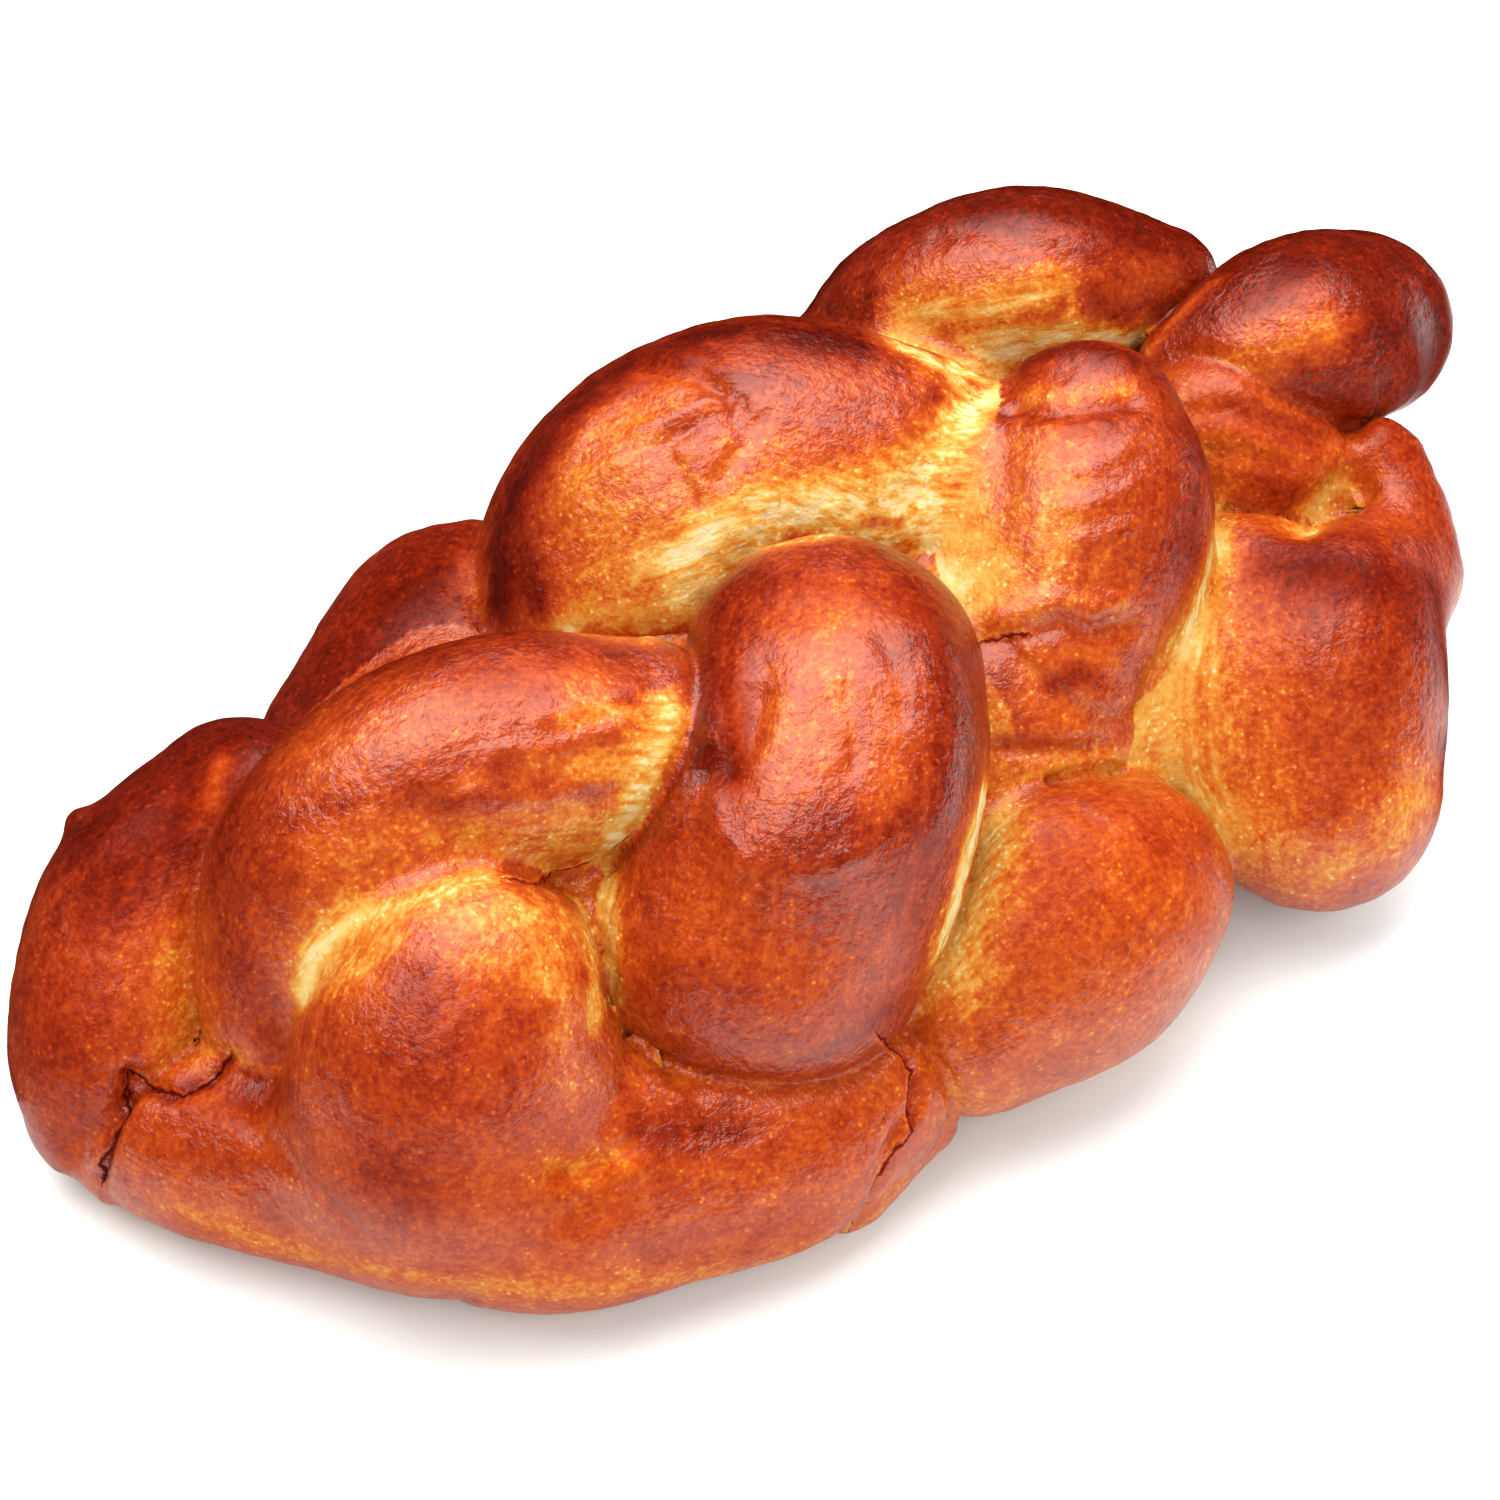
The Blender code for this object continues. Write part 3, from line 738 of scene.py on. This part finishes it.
# Thin cracks and torn edges: paths in the photo's pixels, each drawn with its upper flap to the
# right of the way it runs. The material paints a dark line along each, a painted shadow under the
# flap, with a pale torn rim beside it.
CRACKS = dict(
    end_crack=[(228, 1056), (216, 1068), (205, 1080), (190, 1092), (172, 1090), (150, 1084),
        (130, 1074), (131, 1088), (124, 1100), (122, 1118), (111, 1132), (107, 1150), (96, 1166),
        (99, 1184)],
    split=[(878, 1036), (905, 1057), (914, 1072), (910, 1100), (911, 1130), (897, 1150), (883, 1172),
        (868, 1202), (851, 1230)],
    near_crest_end=[(625, 840), (610, 852), (592, 865), (575, 872), (552, 876), (530, 884), (510, 880)],
    far_crest_fold=[(1024, 634), (1005, 636), (985, 640)],
    knob_notch=[(1374, 396), (1368, 412)],
)

# Pixels between the places where a crack is laid. In millimetres: how far its distance is kept,
# between which distances the crust stops being cracked, how high its flap stands, and from where
# to where beside the crack the flap comes up.
CRACK_SPACING = 3.0
CRACK_REACH = 6.0
CRACK_FADE = (2.4, 0.72)
FLAP_RISE = 0.5
FLAP_EDGE = (0.5, -0.5)

# Crust with little gloss: a half width in millimetres, the share of the gloss that is missing and
# a path in the photo's pixels.
MATT = dict(
    end_top=(10, 0.9, (90, 830), (140, 790), (200, 750), (248, 716)),
    end_upper=(10, 0.95, (120, 880), (170, 840), (205, 800)),
    back_foot=(18, 1, (330, 660), (380, 600), (450, 545)),
    front_middle=(9, 0.6, (424, 1010), (462, 1022)),
    front_foot=(14, 0.85, (1040, 890), (1090, 850), (1130, 870)),
    far_foot_left=(10, 0.6, (1262, 610), (1275, 670), (1290, 730)),
    crest_low=(14, 0.4, (690, 900), (780, 980)),
    crest_left=(3.8, 1, (728, 596), (728, 660), (730, 730), (738, 780)),
    front_low=(8, 0.6, (200, 1230), (400, 1275), (600, 1285), (800, 1240)),
    end_low=(12, 0.7, (40, 1060), (60, 1120), (80, 1160)),
    far_foot_dark=(8, 0.9, (1340, 575), (1380, 590), (1425, 580)),
    far_foot_right=(8, 1, (1438, 600), (1450, 700), (1440, 790)),
    middle_back_top=(7, 0.6, (640, 362), (740, 340), (840, 352)),
    crest_top=(7, 0.9, (736, 600), (795, 580), (860, 584), (906, 610)),
    far_crest_ridge=(5, 0.8, (1030, 360), (1080, 350), (1130, 362)),
    knob_top=(6, 0.7, (1290, 262), (1350, 254), (1400, 280)),
    far_back=(8, 0.1, (930, 260), (1000, 230), (1080, 225)),
    far_back_rim=(5, 1, (830, 300), (865, 250), (930, 215), (1020, 202), (1100, 214), (1160, 248)),
    knob_rim=(5, 1, (1300, 246), (1350, 238), (1400, 252), (1440, 290), (1448, 340), (1430, 390)),
    under_knob=(9, 0.8, (1205, 425), (1250, 455), (1300, 475)),
    collar=(6, 0.85, (1400, 420), (1425, 460), (1450, 540)),
    knob_low=(9, 0.8, (1340, 400), (1390, 395), (1430, 370)),
    middle_back_rim=(6, 1, (512, 600), (508, 540), (525, 480), (560, 424), (612, 380), (680, 350)),
    end_top_right=(6, 1, (196, 800), (222, 752), (240, 722)),
    end_left=(11, 0.8, (92, 890), (74, 980)),
    end_fold=(5, 0.9, (196, 1092), (238, 1110)),
    front_fold=(4, 1, (560, 1182), (600, 1178), (634, 1162)),
    knob_upper=(5, 0.6, (1245, 296), (1300, 270)),
    far_crest_right=(5, 0.8, (1184, 400), (1204, 480), (1192, 540)),
    far_crest_below_groove=(4, 0.7, (1060, 424), (1124, 414)),
    knob_right=(6, 0.9, (1394, 320), (1412, 380)),
    collar_top=(5, 0.9, (1374, 410), (1402, 452)),
    back_crest_top=(4, 0.5, (600, 402), (660, 374), (720, 368)),
    front_patch=(12, 0.85, (320, 1160), (430, 1190), (540, 1190)),
    crest_top_low=(5, 0.7, (768, 622), (830, 616)),
    front_foot_top_right=(8, 0.8, (1150, 850), (1200, 900)),
    near_crest_side=(7, 0.8, (238, 940), (256, 1000), (282, 1050)),
    far_foot_top=(8, 0.8, (1262, 562), (1310, 570)),
    crest_low_right=(8, 0.6, (920, 860), (925, 950), (890, 1010)),
    near_crest_top=(6, 0.7, (470, 674), (550, 668), (620, 676)),
)

# Smooth noises of the crust: millimetres to a bump (one number, or along the strand, to its side
# and outward), the seed, and how much the noise adds, in millimetres or as a share.
NOISES = {
    "swell": (26, 3, 0.7),
    "dimple": (9, 5, 0.22),
    "grain": (3.2, 7, 0.15),
    "pleat": ((11, 3.4, 3.4), 17, 0.10),
    "pleated": (18, 19, 1),
    "wrinkle": ((6.5, 2.4, 2.4), 29, 1),
    "fibre": (2.6, 23, 0.5),
    "patch": (14, 11, 0.06),
    "fleck": (5, 13, 0.05),
    "frayed along": ((8, 2.6, 2.6), 31, 1.3),
    "frayed": (3.4, 37, 0.9),
}

# Share of the way to its neighbours' mean that each point of the melted crust is moved.
EVENED = 0.6

# In millimetres: the height of wrinkles, the depth and half width of a tight seam, and the
# distances from a seam over which the grain of a strand comes in. Noise closer to 0 than RIDGE is
# a ridge between wrinkles, and pleats come in over a range of noise.
WRINKLE_RISE = 0.42
SEAM_DEPTH = 0.9
SEAM_WIDTH = 1.6
OWN_GRAIN = (0.3, 4)
RIDGE = 0.4
PLEATED = (-0.3, 0.3)

# Browning: what the top gains over the foot and over which heights, what a seam lacks and what it
# lacks more where it faces away from the camera, how many millimetres that reaches, and the bake
# over which torn dough turns rough.
TOP_BAKE = 0.16
TOP_HEIGHTS = (35, 95)
SEAM_PALE = 0.05
HIDDEN_PALE = 0.25
HIDDEN_FACING = (0.25, -0.15)
PALE_REACH = 3
TORN_BAKE = (0.30, 0.10)

# Share of the gloss that the foot of the loaf lacks, and the heights over which it is lost.
FOOT_MATT = 0.28
FOOT_HEIGHTS = (52, 12)


def named_noise(name, places):
    """One of the crust's noises at the places."""
    size, seed, amount = NOISES[name]
    return amount * noise(places / size, seed)


class Crust:
    """The crust's points in millimetres, and what is known of each: its lobe, seam and strand."""

    def __init__(self):
        points, self.squares = joined_crust()
        points = melt_together(points)
        mean = neighbours_mean(points, self.squares)
        self.points = (1 - EVENED) * points + EVENED * mean
        self.gaps, _ = lobe_field(self.points)
        self.owner, second, self.near, far = two_nearest(self.gaps)
        self.seam = far - self.near
        self.tight = MELT_WIDTHS[self.owner, second] <= TIGHT_SEAM
        self.paths = PhotoPaths(self.points, self.squares, self.owner)
        self.smooth()
        self.strand = strand_places(self.points, self.owner)
        self.own = smooth_step(*OWN_GRAIN, self.seam)

    def near_any(self, places):
        """How close each point is to the named paths, summed over all of them."""
        return sum(self.paths.closeness(path, width) for width, *path in places.values())

    def smooth(self):
        """Evens out the places where one strand runs into the next."""
        ease = np.clip(SMOOTHING_GAIN * self.near_any(SMOOTHED), 0, 1)
        ease = SMOOTHING_SHARE * ease[:, None]
        for _ in range(SMOOTHING_ROUNDS):
            mean = neighbours_mean(self.points, self.squares)
            self.points = self.points + ease * (mean - self.points)

    def facings(self):
        """The outward direction at each point."""
        return facings(self.points, self.squares)

    def push(self, rise):
        """Moves each point outward by its rise."""
        self.points = self.points + self.facings() * rise[:, None]

    def relief(self):
        """The rise of each point from swells, grain, wrinkles, seams and named creases."""
        rise = named_noise("swell", self.points) + named_noise("dimple", self.points)
        pleated = smooth_step(*PLEATED, named_noise("pleated", self.points))
        rise += self.own * named_noise("pleat", self.strand) * pleated
        rise += named_noise("grain", self.points)
        wrinkled = np.clip(self.near_any(WRINKLED), 0, 1)
        ridges = RIDGE - np.abs(named_noise("wrinkle", self.strand))
        rise += WRINKLE_RISE * wrinkled * self.own * ridges
        rise -= np.where(self.tight, SEAM_DEPTH, 0) * np.exp(-((self.seam / SEAM_WIDTH) ** 2))
        for width, height, *path in RELIEF.values():
            rise += height * self.paths.closeness(path, width)
        return rise

    def browning(self):
        """How dark each point is: its lobes' bake, paler in the seams, under the shades, some of which
        are painted highlights and painted shade.
        """
        tone = np.array([bake for bake, *_ in LOBES.values()])
        share = np.exp((self.near - self.gaps) / (TONE_SPREAD * MELT_WIDTHS[self.owner].T))
        bake = tone @ (share / share.sum(0))
        bake += TOP_BAKE * smooth_step(*TOP_HEIGHTS, self.points[:, 2]) - TOP_BAKE / 2
        hidden = smooth_step(*HIDDEN_FACING, self.facings() @ self.paths.back)
        bake -= (SEAM_PALE + HIDDEN_PALE * hidden) * np.exp(-self.seam / PALE_REACH)
        frayed = self.own * named_noise("frayed along", self.strand)
        frayed = 2 ** (frayed + named_noise("frayed", self.points))
        for width, level, *path in SHADES.values():
            bake += (level - bake) * self.paths.closeness(path, width, own_lobes=True) ** frayed
        return bake + named_noise("patch", self.points) + named_noise("fleck", self.points)

    def shininess(self):
        """How glossy each point is, from 0 to 1."""
        gloss = 1 - FOOT_MATT * smooth_step(*FOOT_HEIGHTS, self.points[:, 2])
        for width, missing, *path in MATT.values():
            gloss -= missing * gloss * self.paths.closeness(path, width, own_lobes=True)
        return gloss

    def shaped(self):
        """Pushes the crust into its final shape, and gives the fields that its material reads."""
        bake = self.browning()
        torn = smooth_step(*TORN_BAKE, bake) * named_noise("fibre", self.points)
        self.push(self.relief() + torn)
        aside, cracked = self.paths.beside(CRACKS.values(), self.facings())
        self.push(FLAP_RISE * cracked * smooth_step(*FLAP_EDGE, aside))
        return {
            # The bake field also holds the painted highlights and painted shade of the shades.
            "bake": np.clip(bake, 0, 1),
            "own": self.own,
            "gloss": self.shininess(),
            "crack": aside,
            "cracked": cracked,
        }


# Degrees from which an edge is sharp, as it is round the flat underside.
SHARP_ANGLE = 60


def loaf_object():
    """The crust as an object with a flat underside, in metres where the solid stands."""
    crust = Crust()
    fields = crust.shaped()
    places = (crust.points - LAYOUT_MIDDLE) * MM
    mesh = bpy.data.meshes.new("loaf_crust")
    mesh.from_pydata(places.tolist(), [], crust.squares.tolist())
    for name, values in fields.items():
        field = mesh.attributes.new(name, "FLOAT", "POINT")
        field.data.foreach_set("value", values.astype(np.float32))
    strand = mesh.attributes.new("strand", "FLOAT_VECTOR", "POINT")
    strand.data.foreach_set("vector", (crust.strand * MM).astype(np.float32).ravel())

    shape = bmesh.new()
    shape.from_mesh(mesh)
    cut = bmesh.ops.bisect_plane(
        shape,
        geom=shape.verts[:] + shape.edges[:] + shape.faces[:],
        plane_co=(0, 0, 0),
        plane_no=(0, 0, 1),
        clear_inner=True,
    )
    rim = [part for part in cut["geom_cut"] if isinstance(part, bmesh.types.BMEdge)]
    bmesh.ops.holes_fill(shape, edges=rim, sides=0)
    shape.to_mesh(mesh)
    shape.free()
    mesh.shade_smooth()
    mesh.set_sharp_from_angle(angle=math.radians(SHARP_ANGLE))
    return linked("loaf_crust", mesh)


class Nodes:
    """Short calls for laying out the nodes of a new material."""

    def __init__(self, name):
        self.material = bpy.data.materials.new(name)
        self.material.use_nodes = True
        self.tree = self.material.node_tree
        self.tree.nodes.clear()

    def node(self, kind, sockets=None, **settings):
        """A node with its settings, and its sockets fed by name."""
        made = self.tree.nodes.new(kind)
        for name, value in settings.items():
            setattr(made, name, value)
        for name, value in (sockets or {}).items():
            self.feed(made.inputs[name], value)
        return made

    def feed(self, socket, value):
        """Links an output to the socket, or sets the socket's own value."""
        if isinstance(value, bpy.types.NodeSocket):
            self.tree.links.new(value, socket)
        else:
            socket.default_value = value

    def field(self, name, output="Fac"):
        """A field painted on the mesh."""
        return self.node("ShaderNodeAttribute", attribute_name=name).outputs[output]

    def maths(self, operation, *values):
        """One step of arithmetic."""
        made = self.node("ShaderNodeMath", operation=operation)
        for socket, value in zip(made.inputs, values):
            self.feed(socket, value)
        return made.outputs[0]

    def times(self, one, other):
        """The product of two values."""
        return self.maths("MULTIPLY", one, other)

    def total(self, weights, values, base=0):
        """The base and the weighted values, added up in the order of the weights."""
        for name, weight in weights.items():
            base = self.maths("MULTIPLY_ADD", values[name], weight, base)
        return base

    def step(self, value, start, end):
        """A smooth rise from 0 at the start to 1 at the end."""
        sockets = {"Value": value, "From Min": start, "From Max": end}
        made = self.node("ShaderNodeMapRange", sockets, interpolation_type="SMOOTHSTEP")
        return made.outputs["Result"]

    def noise(self, place, scale, detail, rough, warp=0):
        """Noise of 0 to 1, with the scale's number of bumps to a metre."""
        sockets = {"Vector": place, "Scale": scale, "Detail": detail, "Roughness": rough}
        made = self.node("ShaderNodeTexNoise", {**sockets, "Distortion": warp})
        return made.outputs["Fac"]

    def grain(self, place, *settings):
        """Noise centred on 0."""
        return self.maths("SUBTRACT", self.noise(place, *settings), 0.5)

    def finished(self, surface):
        """The material, ending in a surface shader with its sockets fed by name."""
        shader = self.node("ShaderNodeBsdfPrincipled", surface)
        self.node("ShaderNodeOutputMaterial", {"Surface": shader.outputs["BSDF"]})
        return self.material


# Colours of the crust from pale dough to the darkest bake, as linear red, green and blue.
CRUST_COLOURS = [
    (0.00, (0.63, 0.51, 0.28)),
    (0.07, (0.62, 0.44, 0.16)),
    (0.15, (0.57, 0.30, 0.06)),
    (0.26, (0.51, 0.16, 0.016)),
    (0.38, (0.42, 0.066, 0.006)),
    (0.52, (0.31, 0.034, 0.0038)),
    (0.66, (0.215, 0.016, 0.002)),
    (0.82, (0.125, 0.006, 0.0008)),
    (1.00, (0.06, 0.002, 0.0003)),
]

# Grains of the crust: bumps to a metre, detail, roughness and how far they are warped. The skin's
# grain lies on the strand and is stretched along it.
GRAINS = {
    "mottle": (130, 3, 0.6),
    "speckle": (950, 2, 0.6),
    "leather": (620, 3, 0.6, 0.4),
    "tear": (420, 3, 0.6),
    "patch": (420, 2, 0.6, 0.4),
}
SKIN_GRAIN = (700, 3, 0.6)
SKIN_STRETCH = (0.22, 1, 1)

# Cracks, in millimetres: how far the tear strays, the edge and the heart of its dark line, which is
# painted shadow, how far aside its pale rim lies, and the rim's edge and heart.
TEAR_STRAY = 2.6
CRACK_LINE = (0.42, 0.08)
RIM_ASIDE = 0.85
RIM_LINE = (0.5, 0.1)

# Pores: how many to a metre, the edge and the heart of one, and the noise that they gather in.
PORE_COUNT = 560
PORE_LINE = (0.30, 0.10)
PORE_NOISE = (200, 3, 0.7)
PORE_LEVEL = 0.47

# Bake over which torn dough becomes crust.
CRUSTED_BAKE = (0.10, 0.40)

# How much each part adds to the spots, to the browning and to the bump.
SPOTS = {"mottle": 0.24, "patch": 0.32, "speckle": 0.44}
# The crack's tone is a painted shadow line along the crack.
TONES = {"crack": 0.30, "rim": -0.14, "fibres": 1, "pore": -0.15}
BUMPS = {"skin": 0.5, "leather": 1.2, "speckle": 0.18, "pore": -0.10, "crack": -1}

# What crust adds to the strength of the spots, and torn dough to that of the fibres, each with the
# strength where there is none.
CRUST_SPOTS = (0.7, 0.3)
TORN_FIBRES = (0.55, 0.20)

# What full gloss adds to the roughness, the roughness without it, and its share of the coat.
GLOSS_ROUGHNESS = (-0.5, 0.85)
GLOSS_COAT = 0.8


def crust_material():
    """Egg-washed crust: browning from the painted field with its painted highlights and shade,
    stretched skin, mottling, pores, and a painted shadow line along each crack.
    """
    n = Nodes("egg_washed_crust")
    place = n.node("ShaderNodeTexCoord").outputs["Object"]
    bake, gloss, cracked = n.field("bake"), n.field("gloss"), n.field("cracked")
    stretch = n.node("ShaderNodeVectorMath", operation="MULTIPLY")
    n.feed(stretch.inputs[0], n.field("strand", "Vector"))
    n.feed(stretch.inputs[1], SKIN_STRETCH)

    parts = {name: n.grain(place, *settings) for name, settings in GRAINS.items()}
    parts["skin"] = n.times(n.grain(stretch.outputs[0], *SKIN_GRAIN), n.field("own"))
    tear = n.maths("MULTIPLY_ADD", parts["tear"], TEAR_STRAY, n.field("crack"))
    beside = n.maths("ADD", tear, RIM_ASIDE)
    parts["crack"] = n.times(n.step(n.maths("ABSOLUTE", tear), *CRACK_LINE), cracked)
    parts["rim"] = n.times(n.step(n.maths("ABSOLUTE", beside), *RIM_LINE), cracked)
    pores = n.node("ShaderNodeTexVoronoi", {"Vector": place, "Scale": PORE_COUNT}, feature="F1")
    gathered = n.maths("GREATER_THAN", n.noise(place, *PORE_NOISE), PORE_LEVEL)
    parts["pore"] = n.times(n.step(pores.outputs["Distance"], *PORE_LINE), gathered)

    crusted = n.step(bake, *CRUSTED_BAKE)
    torn = n.maths("SUBTRACT", 1, crusted)
    parts["fibres"] = n.times(parts["skin"], n.maths("MULTIPLY_ADD", torn, *TORN_FIBRES))
    spotted = n.maths("MULTIPLY_ADD", crusted, *CRUST_SPOTS)
    tone = n.maths("MULTIPLY_ADD", n.total(SPOTS, parts), spotted, bake)
    colour = n.node("ShaderNodeValToRGB", {"Fac": n.total(TONES, parts, tone)})
    ramp = colour.color_ramp
    while len(ramp.elements) < len(CRUST_COLOURS):
        ramp.elements.new(0.5)
    for element, (position, shade) in zip(ramp.elements, CRUST_COLOURS):
        element.position = position
        element.color = (*shade, 1)

    sockets = {"Strength": 0.6, "Distance": 0.0006, "Height": n.total(BUMPS, parts)}
    bump = n.node("ShaderNodeBump", sockets)
    shine = n.times(n.times(crusted, gloss), n.maths("SUBTRACT", 1, parts["crack"]))
    return n.finished({
        "Base Color": colour.outputs["Color"],
        "Normal": bump.outputs["Normal"],
        "Roughness": n.maths("MULTIPLY_ADD", shine, *GLOSS_ROUGHNESS),
        "Specular IOR Level": 0.05,
        "Specular Tint": (1, 0.78, 0.55, 1),
        "Coat Weight": n.times(shine, GLOSS_COAT),
        "Coat Roughness": 0.18,
        "Coat IOR": 1.6,
        "Coat Normal": bump.outputs["Normal"],
    })


# The table top and a sheet of paper: size and place in metres, and whether the crust mirrors it.
SHEETS = {
    "table_top": (12.0, (0, 0, -0.00004), False),
    "paper": (1.2, (0.25, -0.55, 0), True),
}

# Softboxes: place, width and depth in metres, power in watts, and whether the crust mirrors it.
SOFTBOXES = {
    "overhead_softbox": ((0, 0.25, 1.05), 1.65, 1.2, 28.2, True),
    "front_fill": ((-0.45, -1.0, 0.8), 1.6, 1.0, 14.5, False),
    "right_fill": ((1.1, -0.3, 0.8), 1.2, 1.0, 9, False),
}
LIGHT_COLOUR = (1, 0.945, 0.875)
ROOM_COLOUR = (1, 1, 1, 1)
ROOM_STRENGTH = 0.35


def add_table():
    """A pale table top that fills every view, and a sheet of paper that the loaf's front mirrors."""
    white = Nodes("white_table").finished({"Base Color": (0.82, 0.91, 0.95, 1), "Roughness": 0.8})
    for name, (size, place, mirrored) in SHEETS.items():
        bpy.ops.mesh.primitive_plane_add(size=size, location=place)
        sheet = bpy.context.object
        sheet.name = name
        sheet.visible_glossy = mirrored
        sheet.data.materials.append(white)


def aim(item, place, way):
    """Puts a lamp or camera at its place and turns it to look that way."""
    item.location = place
    item.rotation_euler = way.to_track_quat("-Z", "Y").to_euler()


def add_lights():
    """Softboxes that face the loaf, the widest overhead and a little behind, in a white room."""
    world = bpy.data.worlds.new("white_room")
    world.use_nodes = True
    background = world.node_tree.nodes["Background"]
    background.inputs["Color"].default_value = ROOM_COLOUR
    background.inputs["Strength"].default_value = ROOM_STRENGTH
    bpy.context.scene.world = world
    world.cycles_visibility.glossy = False
    for name, (place, width, depth, power, mirrored) in SOFTBOXES.items():
        lamp = bpy.data.lights.new(name, "AREA")
        lamp.shape = "RECTANGLE"
        lamp.size = width
        lamp.size_y = depth
        lamp.energy = power
        lamp.color = LIGHT_COLOUR
        softbox = linked(name, lamp)
        softbox.visible_glossy = mirrored
        aim(softbox, place, -Vector(place))


def add_camera():
    """The camera at the photo's viewing angle."""
    eye, _, _, back = camera_axes()
    data = bpy.data.cameras.new("photo_camera")
    data.lens = CAMERA_LENS
    data.sensor_width = CAMERA_SENSOR
    camera = linked("photo_camera", data)
    aim(camera, Vector((eye - LAYOUT_MIDDLE) * MM), Vector(-back))
    bpy.context.scene.camera = camera


add_camera()
loaf = loaf_object()
loaf.data.materials.append(crust_material())
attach(loaf, "root")
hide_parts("loaf")
add_table()
add_lights()
bpy.context.scene.view_settings.view_transform = "Standard"
